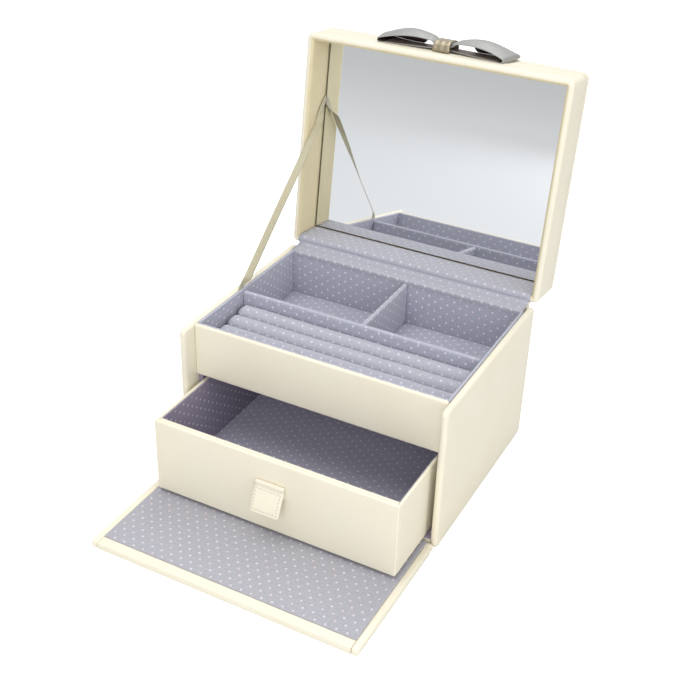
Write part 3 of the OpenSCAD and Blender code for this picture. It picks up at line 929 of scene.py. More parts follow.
def second_finish(piece: bpy.types.Object, material: bpy.types.Material, picked: Iterable[int]) -> None:
    """Gives some faces of a dressed piece another finish.

    Args:
        piece: The piece.
        material: The other finish.
        picked: The faces' numbers.
    """
    piece.data.materials.append(material)
    for index in picked:
        piece.data.polygons[index].material_index = len(piece.data.materials) - 1


def dress_node(node: bpy.types.Object, material: bpy.types.Material) -> None:
    """Gives a CAD node that stays in view its finish.

    Args:
        node: The node's object.
        material: Its finish.
    """
    node.data.materials.clear()
    node.data.materials.append(material)
    LOG.info("%s keeps its CAD shape", node.name)


def dress_bend(piece: bpy.types.Object, material: bpy.types.Material, slot: Slot,
               nodes: Iterable[str]) -> bpy.types.Object:
    """Gives a piece that crosses the lid's hinge its finish and bakes its place into its mesh; it rides on no
    body.

    Args:
        piece: The piece, with no parent.
        material: Its finish.
        slot: The record's slot; not used.
        nodes: The CAD nodes that it stands for.

    Returns:
        The piece.
    """
    piece.data.materials.append(material)
    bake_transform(piece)
    if nodes:
        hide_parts(*nodes)
    LOG.info("%s bends between case and lid", piece.name)
    return piece


def grow(holder: bpy.types.Object, tree: bpy.types.NodeTree, name: str,
         **values: object) -> bpy.types.Object:
    """Runs a geometry node tree on an object and keeps the result as a plain mesh.

    Args:
        holder: The object whose mesh goes in. It is removed.
        tree: The tree.
        name: The new piece's name.
        values: The tree's inputs by name.

    Returns:
        The new object.
    """
    modifier = holder.modifiers.new("grow", "NODES")
    modifier.node_group = tree
    keys = {item.name: item.identifier for item in tree.interface.items_tree if item.item_type == "SOCKET"}
    for key, value in values.items():
        modifier[keys[key]] = value
    graph = bpy.context.evaluated_depsgraph_get()
    mesh = bpy.data.meshes.new_from_object(holder.evaluated_get(graph), depsgraph=graph)
    holder.modifiers.clear()
    bpy.data.objects.remove(holder)
    mesh.name = name
    return new_object(name, mesh)


def spread(n: NodeLines, given: bpy.types.NodeOutputs, inputs: dict) -> bpy.types.NodeTree:
    """Sets a piece on every point, gives the copies their finish and ends the tree.

    Args:
        n: The tree's node helper.
        given: What the tree's inputs give.
        inputs: Points, instance and, where it turns, rotation.

    Returns:
        The tree.
    """
    rows = n.add("GeometryNodeInstanceOnPoints", inputs)
    real = n.add("GeometryNodeRealizeInstances", {0: rows.outputs[0]})
    finish = n.add("GeometryNodeSetMaterial", {"Geometry": real.outputs[0], "Material": given["Finish"]})
    return n.end({0: finish.outputs[0]})


def stitch_tree() -> bpy.types.NodeTree:
    """Builds the tree that sews stitches along the edges of a mesh.

    Returns:
        The tree.
    """
    n, given = start_group(
        "stitches", "Geometry",
        [("Seam", "Geometry"), ("Pitch", "Float", 0.0017), ("Stitch", "Float", 0.0011),
         ("Thread", "Float", 0.0002), ("Finish", "Material")], [("Sewn", "Geometry")])
    curve = n.add("GeometryNodeMeshToCurve", {"Mesh": given["Seam"]})
    spaced = n.add("GeometryNodeResampleCurve", {"Curve": curve.outputs[0], "Length": given["Pitch"]},
                   mode="LENGTH")
    tangent = n.add("GeometryNodeInputTangent")
    turn = n.add("FunctionNodeAlignRotationToVector", {"Vector": tangent.outputs[0]}, axis="Z")
    thread = n.add("GeometryNodeMeshUVSphere", {"Segments": 8, "Rings": 6, "Radius": given["Thread"]})
    ratio = n.math("DIVIDE", given["Stitch"], n.math("MULTIPLY", given["Thread"], 2.0))
    scale = n.add("ShaderNodeCombineXYZ", {0: 1.0, 1: 1.0, 2: ratio})
    longer = n.add("GeometryNodeTransform",
                   {"Geometry": thread.outputs["Mesh"], "Scale": scale.outputs[0]})
    return spread(n, given, {"Points": spaced.outputs[0], "Instance": longer.outputs[0],
                             "Rotation": turn.outputs[0]})


def roll_tree() -> bpy.types.NodeTree:
    """Builds the tree that sets one padded roll behind another, each a little higher.

    Returns:
        The tree.
    """
    n, given = start_group(
        "ring_roll_row", "Geometry",
        [("Roll", "Geometry"), ("Rolls", "Int", 4), ("Pitch", "Float", 0.0135),
         ("Rise", "Float", 0.0014), ("Finish", "Material")], [("Row", "Geometry")])
    step = n.add("ShaderNodeCombineXYZ", {1: given["Pitch"], 2: given["Rise"]})
    line = n.add("GeometryNodeMeshLine", {"Count": given["Rolls"], "Offset": step.outputs[0]},
                 mode="OFFSET")
    return spread(n, given, {"Points": line.outputs[0], "Instance": given["Roll"]})


@dataclass
class Part:
    """What every sub-assembly needs.

    Attributes:
        nodes: The frame's CAD nodes by name.
        finishes: The finishes by name.
        placing: The frame in which its pieces are drawn.
        body: The CAD body that they ride on.
    """

    nodes: dict[str, bpy.types.Object]
    finishes: dict[str, bpy.types.Material]
    placing: Placing
    body: Body

    def box(self, node: str) -> tuple[np.ndarray, np.ndarray]:
        """Returns a node's corners in this part's placing, in millimetres."""
        return node_box(self.nodes[node], self.placing)

    def dress(self, piece: bpy.types.Object, finish: str, slot: Slot = Slot.LEATHERETTE,
              nodes: Iterable[str] = ()) -> bpy.types.Object:
        """Dresses a piece of this part.

        Args:
            piece: The piece.
            finish: The finish's name.
            slot: The record's slot.
            nodes: The CAD nodes that it stands for.

        Returns:
            The piece.
        """
        return dress(piece, self.body, self.finishes[finish], slot, nodes)

    def boards(self, wrap: Wrap, finish: str, slot: Slot = Slot.LEATHERETTE,
               **thin: Axis) -> list[bpy.types.Object]:
        """Replaces CAD boards with padded, wrapped ones of the same size.

        Args:
            wrap: Their edges and padding.
            finish: The finish's name.
            slot: The record's slot.
            thin: The direction in which each board is thin, by its CAD node.

        Returns:
            The new pieces.
        """
        return [self.dress(wrapped_board(f"{node}_wrapped", *self.box(node), axis, wrap, self.placing),
                           finish, slot, [node]) for node, axis in thin.items()]

    def keep(self, finish: str, *nodes: str) -> None:
        """Keeps CAD nodes in view with a finish."""
        for node in nodes:
            dress_node(self.nodes[node], self.finishes[finish])


@dataclass
class CaseShell(Part):
    """The padded outer case: sides, back, base, tray front and drawer bay.

    Attributes:
        nose: Radius of the panels' round edges.
        outline: Radius of the side panels' corners.
    """

    nose: float = 2.45
    outline: float = 4.2

    def build(self) -> None:
        """Builds the case's outer pieces."""
        side = Wrap(edge=self.nose, corners=(self.outline,) * 4, crown=0.22, swell=16, wobble=0.10)
        front = Wrap(edge=1.42, corners=(1.6, 1.6, 1.2, 1.2), crown=0.12, swell=6, wobble=0.10)
        self.boards(side, "cream_leatherette", side_panel_left=Axis.X, side_panel_right=Axis.X)
        self.boards(Wrap(edge=2.0, crown=0.15, wobble=0.1), "cream_leatherette", back_panel=Axis.Y)
        self.boards(front, "cream_leatherette", tray_front_panel=Axis.Y)
        # The drawer bay's cloth takes the darker copy of the lining fabric: painted shade.
        self.boards(Wrap(edge=0.3, wobble=0.0), "lavender_dots_painted_shade", Slot.FABRIC,
                    bay_lining=Axis.Z, bay_wall_left=Axis.X, bay_wall_right=Axis.X)
        self.keep("cream_leatherette", "base_panel")
        self.keep("paperboard", "tray_floor", "hinge_rail")


@dataclass
class JewelleryTray(Part):
    """The lined tray with its dividers and padded ring rolls.

    Attributes:
        rolls: Number of ring rolls.
        slit: Gap between neighbouring rolls.
        rise: How much higher each roll stands than the one in front.
        cloth: Thickness of the cloth on the rear rim.
    """

    rolls: int = 4
    slit: float = 0.4
    rise: float = 1.4
    cloth: float = 0.45

    def build(self) -> None:
        """Builds the linings, dividers, rolls and rear rim."""
        card = Wrap(edge=0.75, crown=0.12, swell=5, wobble=0.12)
        self.boards(card, "lavender_dots", Slot.FABRIC, lining_left=Axis.X, lining_right=Axis.X,
                    lining_front=Axis.Y, lining_back=Axis.Y)
        soft = Wrap(edge=0.95, crown=0.35, swell=9, wobble=0.2)
        pad = self.boards(soft, "lavender_dots", Slot.FABRIC, tray_floor_pad=Axis.Z)[0]
        fold = Wrap(edge=1.72, corners=(1.8, 1.8, 0.3, 0.3), wobble=0.14)
        self.boards(fold, "lavender_dots", Slot.FABRIC, long_divider=Axis.Y, cross_divider=Axis.X)
        self.build_rolls()
        self.build_rim()

    def build_rolls(self) -> None:
        """Builds the row of padded rolls from one roll."""
        low, high = self.box("ring_rolls")
        pitch = (high[1] - low[1] + self.slit) / self.rolls
        radius = (pitch - self.slit) / 2
        half = (high[0] - low[0]) / 2
        crest = high[2] - self.rise * (self.rolls - 1)
        shoulder = crest - radius
        profile = [(0.0, low[2]), (0.0, low[2] + 0.6 * (shoulder - low[2])), (0.0, shoulder)]
        profile += rounded(radius, shoulder, (15, 30, 45, 58, 70, 80, 86))
        lengths = run_along(np.array(profile))
        rings, uvs = [], []
        for (inset, z), length in zip(profile, lengths):
            flat = ring((half, radius), (4.6,) * 4, inset, 6, 40)
            rings.append(raised(flat, z))
            uvs.append(np.column_stack([flat[:, 0], np.sign(flat[:, 1]) * (lengths[-1] - length + 0.3)]))
        points, faces = loft(rings, closed=False)
        for i, p in enumerate(points):
            swell = 0.22 * noise.noise(Vector((p[0] * 0.05, p[1] * 0.3, p[2] * 0.2)))
            points[i, 2] += swell if p[2] > shoulder else 0.0
        points[:, 1] += low[1] + radius
        roll = make_mesh("ring_roll", points, faces, self.placing, uv=np.concatenate(uvs))
        row = grow(roll, roll_tree(), "ring_roll_row", Rolls=self.rolls, Pitch=pitch * MM,
                   Rise=self.rise * MM, Finish=self.finishes["pale_lavender_dots"])
        self.dress(row, "pale_lavender_dots", Slot.FABRIC, ["ring_rolls"])

    def build_rim(self) -> None:
        """Builds the cloth over the wide rear rim, with a crease at both its edges."""
        low, high = self.box("rim_cloth")
        base = low[2]
        front, back = low[1], high[1]
        path = np.array([
            (front - 0.35, base - 3.4), (front - 0.62, base - 1.3), (front - 0.5, base - 0.35),
            (front + 0.6, base - 0.15), (front + 1.4, base + 0.12), (front + 3, base + 0.1),
            (back - 1.6, base + 0.1), (back - 0.5, base + 0.02), (back + 0.2, base - 0.6),
            (back + 0.45, base - 1.4)])
        made = extruded_cloth("rear_rim_cloth", path, high[0] - low[0], self.cloth, self.placing,
                              wobble=0.14)
        self.dress(made, "pale_lavender_dots", Slot.FABRIC, ["rim_cloth"])


@dataclass
class PulledDrawer(Part):
    """The drawer with its face, box boards, linings and stitched pull tab.

    Attributes:
        edge: Radius of the boards' wrapped edges.
        ply: Thickness of one ply of the tab.
        seam: Distance from the tab's edge to its stitches.
    """

    edge: float = 0.85
    ply: float = 1.15
    seam: float = 2.0

    def build(self) -> None:
        """Builds the drawer."""
        face = Wrap(edge=self.edge, corners=(1.4,) * 4, crown=0.14, swell=7, wobble=0.09)
        self.boards(face, "cream_leatherette", drawer_face=Axis.Y)
        self.boards(Wrap(edge=self.edge, wobble=0.05), "cream_leatherette", drawer_box_front=Axis.Y,
                    drawer_back=Axis.Y, drawer_side_left=Axis.X, drawer_side_right=Axis.X)
        self.keep("cream_leatherette", "drawer_bottom")
        card = Wrap(edge=0.35, wobble=0.05)
        # The drawer's side and end linings take the darker copy of the lining fabric: painted shade.
        self.boards(card, "lavender_dots_painted_shade", Slot.FABRIC,
                    drawer_lining_front=Axis.Y, drawer_lining_back=Axis.Y,
                    drawer_lining_left=Axis.X, drawer_lining_right=Axis.X)
        # The drawer's floor takes the lighter copy of the lining fabric: painted light.
        self.boards(card, "drawer_floor_dots_painted_light", Slot.FABRIC, drawer_lining_floor=Axis.Z)
        self.build_tab()

    def build_tab(self) -> None:
        """Builds the folded strip, which stands off the face at its foot, and sews it."""
        low, high = self.box("pull_tab")
        face, front = high[1], low[1]
        middle = (low[0] + high[0]) / 2
        half = (high[0] - low[0]) / 2
        top, foot = high[2], low[2]
        back_y = face - self.ply / 2
        bead = (face - 1.5, top - 1.55)
        path = [(back_y, top - 10.5), (back_y, top - 4), (back_y - 0.1, top - 2.4)]
        path += [(bead[0] + 0.95 * math.cos(a), bead[1] + 0.95 * math.sin(a))
                 for a in np.radians([20, 55, 90, 125, 160, 195])]
        path += [(face - 2.05, top - 3.3), (face - 2.0, top - 4.3)]
        path += [self.hang(face, front, top, foot, s) for s in np.linspace(0.06, 1, 10)]
        made = self.strap("pull_tab_strap", np.array(path), middle, half, 1.2)
        self.dress(made, "cream_leatherette", nodes=["pull_tab"])
        line = [self.hang(face, front, top, foot, s) for s in np.linspace(0, 1, 40)]
        self.sew(middle, half, np.array(line))

    def hang(self, face: float, front: float, top: float, foot: float, share: float) -> tuple[float, float]:
        """Returns the middle of the hanging ply, from its fold to its foot.

        Args:
            face: The drawer's face.
            front: How far forward the tab reaches.
            top: Height of the tab's fold.
            foot: Height of its lower edge.
            share: How far down the ply the point is.

        Returns:
            Its y and z.
        """
        z0, z1 = top - 4.6, foot + 0.15
        y0, y1 = face - 2.15, front + 0.62
        bow = 0.5 * math.sin(math.pi * share)
        return y0 + (y1 - y0) * share - bow, z0 + (z1 - z0) * share - 0.2 * bow

    def strap(self, name: str, path: np.ndarray, middle: float, half: float,
              corner: float) -> bpy.types.Object:
        """Builds a strap with rounded ends along a path in the Y-Z plane.

        Args:
            name: The piece's name.
            path: The path, y and z.
            middle: The strap's middle in X.
            half: Half its width.
            corner: Radius of its ends' corners.

        Returns:
            The strap.
        """
        line = round_path(path, 2)
        run = run_along(line)
        extra = [corner * (1 - math.cos(a)) for a in np.radians([20, 40, 60, 80])]
        stops = np.unique(np.concatenate([run, extra, run[-1] - np.array(extra)]))
        line = np.stack([np.interp(stops, run, line[:, k]) for k in (0, 1)], 1)
        rings, uvs = [], []
        shares = np.linspace(-1, 1, 15)
        for spot, across, s in zip(line, left_of(line), stops):
            gap = max(0.0, corner - min(s, stops[-1] - s))
            width = half - (corner - math.sqrt(max(corner * corner - gap * gap, 0.01)))
            upper = [(middle + width * t, 1 - 0.35 * abs(t) ** 12) for t in shares]
            outline = upper + [(x, -h) for x, h in upper[::-1]]
            rings.append(np.array([(x, *(spot + across * h * self.ply / 2)) for x, h in outline]))
            uvs.append(np.array([(x, s) for x, h in outline]))
        return loft_mesh(name, rings, uvs, self.placing)

    def sew(self, middle: float, half: float, line: np.ndarray) -> None:
        """Sews the tab's hanging ply along its sides, foot and fold.

        Args:
            middle: The tab's middle in X.
            half: Half its width.
            line: The middle of the hanging ply, y and z, from its fold down.
        """
        steps = 14
        run = run_along(line)
        face = line - left_of(line) * (self.ply / 2 + 0.02)
        a, start, stop = half - self.seam, 1.4, run[-1] - self.seam
        corners = [(-a, start), (-a, stop), (a, stop), (a, start), (-a, start)]
        points = []
        for (x0, d0), (x1, d1) in zip(corners[:-1], corners[1:]):
            for s in np.arange(steps) / steps:
                down = d0 + (d1 - d0) * s
                points.append((middle + x0 + (x1 - x0) * s, np.interp(down, run, face[:, 0]),
                               np.interp(down, run, face[:, 1])))
        mesh = bpy.data.meshes.new("tab_seam")
        mesh.from_pydata([tuple(v * MM for v in p) for p in points],
                         [(i, (i + 1) % len(points)) for i in range(len(points))], [])
        sewn = grow(new_object("tab_seam", mesh), stitch_tree(), "pull_tab_stitches", Pitch=0.0023,
                    Stitch=0.0013, Thread=0.0002, Finish=self.finishes["stitch_thread"])
        self.dress(sewn, "stitch_thread")


@dataclass
class FrontFlap(Part):
    """The fold-down flap: turned-over edges round a dotted lining.

    Attributes:
        fold: Width of the soft fold at the hinge.
        edge: Radius of the wrapped upper edges.
    """

    fold: float = 5.0
    edge: float = 1.45

    def build(self) -> None:
        """Builds the flap."""
        low, high = self.box("flap_board")
        inner_low, inner_high = self.box("flap_lining")
        left, right, hinge = inner_low[0], inner_high[0], high[1] - self.fold
        soft = Wrap(edge=self.edge, corners=(1.8,) * 4, wobble=0.16)
        band = replace(soft, edge=0.5, corners=(0.3,) * 4, wobble=0.05)
        pieces = (
            ("flap_side_left", soft, (low[0], low[1]), (left, hinge - 0.15), 0.1),
            ("flap_side_right", soft, (right, low[1]), (high[0], hinge - 0.15), 0.1),
            ("flap_end_band", band, (left + 0.1, low[1] + 0.2), (right - 0.1, inner_low[1] - 0.05), -0.35),
            ("flap_fold_left", soft, (low[0] + 0.3, hinge + 0.1), (left, high[1]), -0.3),
            ("flap_fold_right", soft, (right, hinge + 0.1), (high[0] - 0.3, high[1]), -0.3),
        )
        for name, wrap, near, far, lift in pieces:
            made = wrapped_board(name, np.array((*near, low[2])), np.array((*far, high[2] + lift)),
                                 Axis.Z, wrap, self.placing)
            self.dress(made, "cream_leatherette", nodes=["flap_board"] if near[0] == low[0] else [])
        core = wrapped_board("flap_core", np.array((left - 0.5, inner_low[1] - 0.5, low[2] + 0.05)),
                             np.array((right + 0.5, high[1] - 0.05, inner_low[2])), Axis.Z,
                             Wrap(edge=0.4, wobble=0.0), self.placing)
        self.dress(core, "cream_leatherette")
        cloth = wrapped_board("flap_lining_cloth", inner_low, inner_high + np.array((0, 0.5, 0.03)),
                              Axis.Z, Wrap(edge=0.38, corners=(0.5,) * 4, crown=0.1, wobble=0.1),
                              self.placing)
        self.dress(cloth, "flap_dots", Slot.FABRIC, ["flap_lining"])
        self.keep("cream_leatherette", "flap_hinge_strip")


@dataclass
class MirrorLid(Part):
    """The padded lid: wrapped walls, soft top, hinge cloth and mirror.

    Attributes:
        corner: Radius of the lid's corners.
        hinge_corner: Radius of the two corners at the hinge.
        edge: Radius round the lid's top.
        cloth: Thickness of the hinge cloth.
    """

    corner: float = 5.0
    hinge_corner: float = 3.6
    edge: float = 4.0
    cloth: float = 0.5

    def build(self) -> None:
        """Builds the lid."""
        top_low, top_high = self.box("lid_top_panel")
        wall_low, wall_high = self.box("lid_wall_front")
        wall = wall_high[1] - wall_low[1]
        nose = wall / 2
        middle = (top_low + top_high) / 2
        half = (top_high - top_low) / 2
        height = wall_high[2]
        profile = [(0.3, height), (0.0, height - 0.5)]
        profile += [(0.0, z) for z in np.linspace(height - 6, nose + 1.5, 4)]
        profile += [(nose * (1 - math.cos(a)), nose - nose * math.sin(a))
                    for a in np.radians(np.arange(0, 181, 15))]
        profile += [(wall, z) for z in np.linspace(nose + 1.5, height, 5)]
        self.frame("lid_walls", profile, middle, half, True, 0.12,
                   ["lid_wall_front", "lid_wall_back", "lid_wall_left", "lid_wall_right"])
        deep = top_high[2]
        cover = [(0.25, height), (0.0, height + 0.4), (0.0, deep - self.edge)]
        cover += rounded(self.edge, deep - self.edge, (15, 30, 45, 60, 75, 90))
        cover += [(self.edge + 3, deep + 0.12), (self.edge + 9, deep + 0.35), (self.edge + 18, deep + 0.5)]
        self.frame("lid_top", cover, middle, half, False, 0.16, ["lid_top_panel"])
        self.build_cloth()
        self.keep("mirror_silver", "mirror_plate")
        self.keep("paperboard", "mirror_backing")
        self.build_spine()
        self.build_gusset()

    def frame(self, name: str, profile: Sequence[tuple[float, float]], middle: np.ndarray,
              half: np.ndarray, closed: bool, wobble: float, nodes: Sequence[str]) -> None:
        """Lofts a profile round the lid's outline.

        Args:
            name: The piece's name.
            profile: Pairs of inset and height.
            middle: The outline's middle.
            half: Half its size.
            closed: Whether the profile closes on itself.
            wobble: Height of its unevenness.
            nodes: The CAD nodes that it stands for.
        """
        corners = (self.hinge_corner,) * 2 + (self.corner,) * 2
        rings = [raised(ring(half[:2], corners, inset, 8, 30) + middle[:2], z) for inset, z in profile]
        points, faces = loft(rings, closed)
        centre = middle[:2]
        for i, p in enumerate(points):
            lift = wobble * noise.noise(Vector((p[0] * 0.035, p[1] * 0.035, p[2] * 0.06)))
            away = np.array(p[:2]) - centre
            away = away / (np.abs(away).max() + 1e-6)
            points[i, :2] += away * lift * (0.5 if closed else 1.0)
        made = make_mesh(name, points, faces, self.placing)
        self.dress(made, "cream_leatherette", nodes=nodes)
        if closed:
            inner = max(inset for inset, z in profile) * 0.62
            count = len(rings[0])
            bands = [k for k in range(len(profile) - 1) if profile[k][0] > inner]
            # The inner faces of the walls take the darker copy of the leatherette: painted shade.
            second_finish(made, self.finishes["cream_leatherette_painted_shade"],
                          [k * count + i for k in bands for i in range(count)])

    def build_cloth(self) -> None:
        """Builds the cloth round the hinge-side wall and up to the mirror."""
        low, high = self.box("lid_hinge_cloth")
        wall_low, wall_high = self.box("lid_wall_back")
        wall = wall_high[1] - wall_low[1]
        nose = wall / 2
        path = [(0.02, nose + 1.0)]
        path += [(-nose + (nose + 0.04) * math.cos(a), nose - (nose + 0.04) * math.sin(a))
                 for a in np.radians(np.arange(0, 181, 22.5))]
        path += [(-wall - 0.06, nose + 3), (-wall - 0.12, 12), (-wall - 0.05, 20), (-wall - 0.1, high[2])]
        made = extruded_cloth("lid_hinge_band", np.array(path), high[0] - low[0] - 0.3, self.cloth,
                              self.placing, wobble=0.12)
        self.dress(made, "pale_lavender_dots", Slot.FABRIC, ["lid_hinge_cloth"])

    def build_gusset(self) -> None:
        """Builds the fabric in the valley between the rear rim and the lid."""
        pivot = self.placing.matrix[1:3, 3]
        low, high = node_box(self.nodes["rim_cloth"], Placing.row())
        rim = high[1] + 1
        path = np.array([(rim - 3.4, high[2] - 0.5), (rim - 1.7, high[2] + 0.15),
                         (rim - 0.7, high[2] + 0.35), (rim - 0.1, pivot[1] + 0.1),
                         (rim + 0.35, pivot[1] + 0.9), (rim + 1.3, pivot[1] + 2.0)])
        made = extruded_cloth("hinge_gusset", path, high[0] - low[0] - 0.6, self.cloth, Placing.row(),
                              wobble=0.1)
        dress_bend(made, self.finishes["pale_lavender_dots"], Slot.FABRIC,
                   [])

    def build_spine(self) -> None:
        """Builds the leatherette strip behind the hinge, shaped to the open lid."""
        pivot = self.placing.matrix[1:3, 3]
        lean = self.placing.matrix[1:3, 2]
        low, high = node_box(self.nodes["lid_spine"], Placing.row())
        start = np.array((pivot[0] + 0.05, low[2]))
        path = np.array([start, (pivot[0] + 0.05, pivot[1] - 2.2), (pivot[0] + 0.3, pivot[1] - 0.9),
                         pivot + lean * 1.6 - np.array((0, 0.15)), pivot + lean * 16 - np.array((0, 0.06))])
        made = extruded_cloth("lid_spine_strip", path[::-1], high[0] - low[0], 0.75, Placing.row())
        dress_bend(made, self.finishes["cream_leatherette"], Slot.LEATHERETTE,
                   ["lid_spine"])


@dataclass
class RibbonStay(Part):
    """The ribbon that holds the lid open, taut from the left rim to the mirror's edge.

    Attributes:
        width: The ribbon's width.
        thickness: Its thickness.
        rim: Where it leaves the rim, y and z.
        tail: How far it runs down behind the lining.
        lid_run: How far up the lid it ends, from the hinge.
        depth: How deep in the lid it ends.
        turns: How far from its lower and its upper end it lies flat.
        slack: How flat its lower half lies, from 0 on edge to 1.
    """

    width: float = 5.4
    thickness: float = 0.35
    rim: tuple[float, float] = (-8.0, 109.0)
    tail: float = 11.0
    lid_run: float = 109.0
    depth: float = 25.4
    turns: tuple[float, float] = (11.0, 22.0)
    slack: float = 0.5

    def build(self) -> None:
        """Builds the ribbon."""
        low, high = node_box(self.nodes["ribbon_stay"], Placing.row())
        edge = low[0] + 0.02
        x = edge + self.thickness / 2
        foot = np.array((self.rim[0], self.rim[1] - self.tail))
        rim = np.array(self.rim)
        end = self.placing.out(np.array([(x, -self.lid_run, self.depth)]))[0][1:]
        tail_end = self.placing.out(np.array([(x, -self.lid_run, self.depth + 2.4)]))[0][1:]
        line = [foot, rim - (0, 1.0)]
        share = np.linspace(0.01, 0.995, 64)
        line += [rim * (1 - s) + end * s - np.array((0, 0.5 * math.sin(math.pi * s))) for s in share]
        line.append(tail_end)
        path = np.array(line)
        run = run_along(path)
        rings, uvs = [], []
        for spot, across, s in zip(path, left_of(path), run):
            up, down = s - run[1], run[-2] - s
            flat = ease(min((up - self.width) / (self.turns[0] - self.width),
                            (down - self.width) / (self.turns[1] - self.width)))
            most = self.slack + (1 - self.slack) * ease((up / (up + down) - 0.35) / 0.5)
            turn = math.pi / 2 * (1 - flat * most)
            wide, thick = math.cos(turn), math.sin(turn)
            middle = edge + (self.width * wide + self.thickness * thick) / 2
            outline = [(h, w) for h in (1, -1) for w in (np.linspace(-1, 1, 7) * h)]
            points = []
            for h, w in outline:
                out, side = h * self.thickness / 2 * (1 - 0.4 * abs(w) ** 6), w * self.width / 2
                points.append((middle + side * wide - out * thick,
                               *(spot - across * (side * thick + out * wide))))
            rings.append(np.array(points))
            uvs.append(np.array([(w * self.width / 2, s) for h, w in outline]))
        made = loft_mesh("ribbon_stay_strip", rings, uvs, Placing.row())
        dress_bend(made, self.finishes["cream_ribbon"], Slot.RIBBON,
                   ["ribbon_stay"])


@dataclass
class SatinBow(Part):
    """The bow on the lid's front wall: two hollow loops and a knot.

    Attributes:
        reach: Half the bow's length.
        near: Distance from the bow's line to the band's edge at the lid's mouth side.
        far: Distance to its other edge, at the knot and at a loop's end.
        band: Thickness of the band.
        rise: Height of the bow's line above the lid's mouth.
        front: Depth of the lid.
        crest: Where the upper band is highest, across its width.
        slot: How far from the middle the far side starts to close.
        slant: How far the mouth side falls short at the left and at the right end.
        knot_span: Width of the knot.
    """

    reach: float = 50.8
    near: tuple[float, float] = (4.8, 8.7)
    far: tuple[float, float] = (7.2, 15.0)
    band: float = 0.8
    rise: float = 19.0
    front: float = 160.5
    crest: float = 0.4
    slot: float = 14.0
    slant: tuple[float, float] = (0.8, 4.8)
    knot_span: float = 13.0

    def build(self) -> None:
        """Builds both loops and the knot."""
        self.loop("bow_loop_left_band", -1, "bow_loop_left")
        self.loop("bow_loop_right_band", 1, "bow_loop_right")
        self.knot()

    def on_lid(self, points: np.ndarray) -> np.ndarray:
        """Takes a bow's points (X along it, Y towards the lid's top, Z off the lid) to the lid."""
        return np.stack([points[:, 0], -self.front - points[:, 2], self.rise + points[:, 1]], 1)

    def loop(self, name: str, side: int, node: str) -> None:
        """Builds one hollow loop.

        Args:
            name: The piece's name.
            side: 1 for the right loop and -1 for the left one.
            node: The CAD node that it stands for.
        """
        t = self.band / 2
        cross = np.linspace(-1, 1, 37)
        start, stop, bend = 3.4, self.reach - 1.1, 1.1 - t
        low = [(x, self.lower(x, cross) + t) for x in np.linspace(start, stop, 20)]
        high = [(x, self.upper(x, cross) - t) for x in np.linspace(stop, start, 44)]
        end_low, end_high = low[-1][1], high[0][1]
        fold = [(stop + bend * math.cos(a),
                 (end_low + end_high) / 2 + (end_high - end_low) / 2 * math.sin(a))
                for a in np.radians([-68, -45, -20, 0, 20, 45, 68])]
        middles = []
        for x, z in low + fold + high:
            share = self.share(x)
            near, far = [a + (b - a) * share for a, b in (self.near, self.far)]
            across = np.where(cross < 0, near, far) * cross
            short = self.slant[side > 0] * share * share * np.clip((0.6 - cross) / 1.6, 0, 1)
            middles.append(np.stack([x - short, across, z], 1))
        mid = np.array(middles)
        run = run_along(mid[:, len(cross) // 2])
        thick = (t * (1 - 0.5 * np.abs(cross) ** 14))[:, None]
        rings, uvs = [], []
        for spots, out, s in zip(mid, left_of(mid[:, :, (0, 2)]), run):
            inner, outer = spots.copy(), spots.copy()
            inner[:, (0, 2)] += out * thick
            outer[:, (0, 2)] -= out * thick
            loop = np.concatenate([inner, outer[::-1]])
            loop[:, 0] *= side
            rings.append(self.on_lid(loop))
            uvs.append(np.array([(s, p[1]) for p in loop]))
        made = loft_mesh(name, rings, uvs, self.placing)
        self.dress(made, "pewter_satin", Slot.SATIN, [node])
        # Inside each loop, the lower band takes the darker, browner satin and the fold and upper band take
        # the near-black one: painted shade.
        count, turn = 2 * len(cross), len(low) - 3
        for finish, first, last in (("pewter_satin_lower_painted_shade", 0, turn),
                                    ("pewter_satin_inside_painted_shade", turn, len(rings) - 1)):
            second_finish(made, self.finishes[finish],
                          [k * count + i for k in range(first, last) for i in range(len(cross) - 1)])

    def share(self, x: float) -> float:
        """Returns how far along a loop a place is, 0 at the knot and 1 at the loop's end."""
        return clamp((x - self.knot_span / 2) / (self.reach - self.knot_span / 2))

    def lower(self, x: float, cross: np.ndarray) -> np.ndarray:
        """Returns the height of the lower band's underside across its width.

        Args:
            x: Distance from the bow's middle.
            cross: Places across the band, -1 at the lid's mouth side and 1 at the other.

        Returns:
            The heights.
        """
        along = self.share(x)
        lift = 1.7 * max(0.0, (along - 0.45) / 0.55) ** 2
        return lift * np.clip((cross + 0.6) / 1.6, 0, 1) ** 1.5 + 1.3 * (1 - along) ** 2

    def upper(self, x: float, cross: np.ndarray) -> np.ndarray:
        """Returns the height of the upper band's top across its width.

        Args:
            x: Distance from the bow's middle.
            cross: Places across the band, -1 at the lid's mouth side and 1 at the other.

        Returns:
            The heights.
        """
        start = self.knot_span / 4
        s = clamp((x - start) / (self.reach - start))
        wave = max(0.0, math.sin(math.pi * s))
        peak = 7.0 - 2.1 * s + 5.4 * wave ** 1.1
        mouth = 6.0 - 3.1 * s + 3.2 * wave ** 0.9
        closing = ease((x - self.slot) / 7)
        floor = float(self.lower(x, np.array([1.0]))[0]) + 1.6 * self.band
        far = (1 - closing) * 0.8 * peak + closing * floor
        before = np.clip((self.crest - cross) / (1 + self.crest), 0, 1)
        behind = np.clip((cross - self.crest) / (1 - self.crest), 0, 1)
        height = peak - (peak - mouth) * before ** 1.7 - (peak - far) * behind ** 3
        gather = clamp((self.knot_span / 2 + 3 - x) / 4)
        height -= 0.35 * (1 - s) ** 6 * (1 + np.cos(5 * math.pi * cross)) / 2
        return height * (1 - gather) + gather * np.minimum(height, 7.0 * (1 - 0.42 * np.abs(cross) ** 3.5))

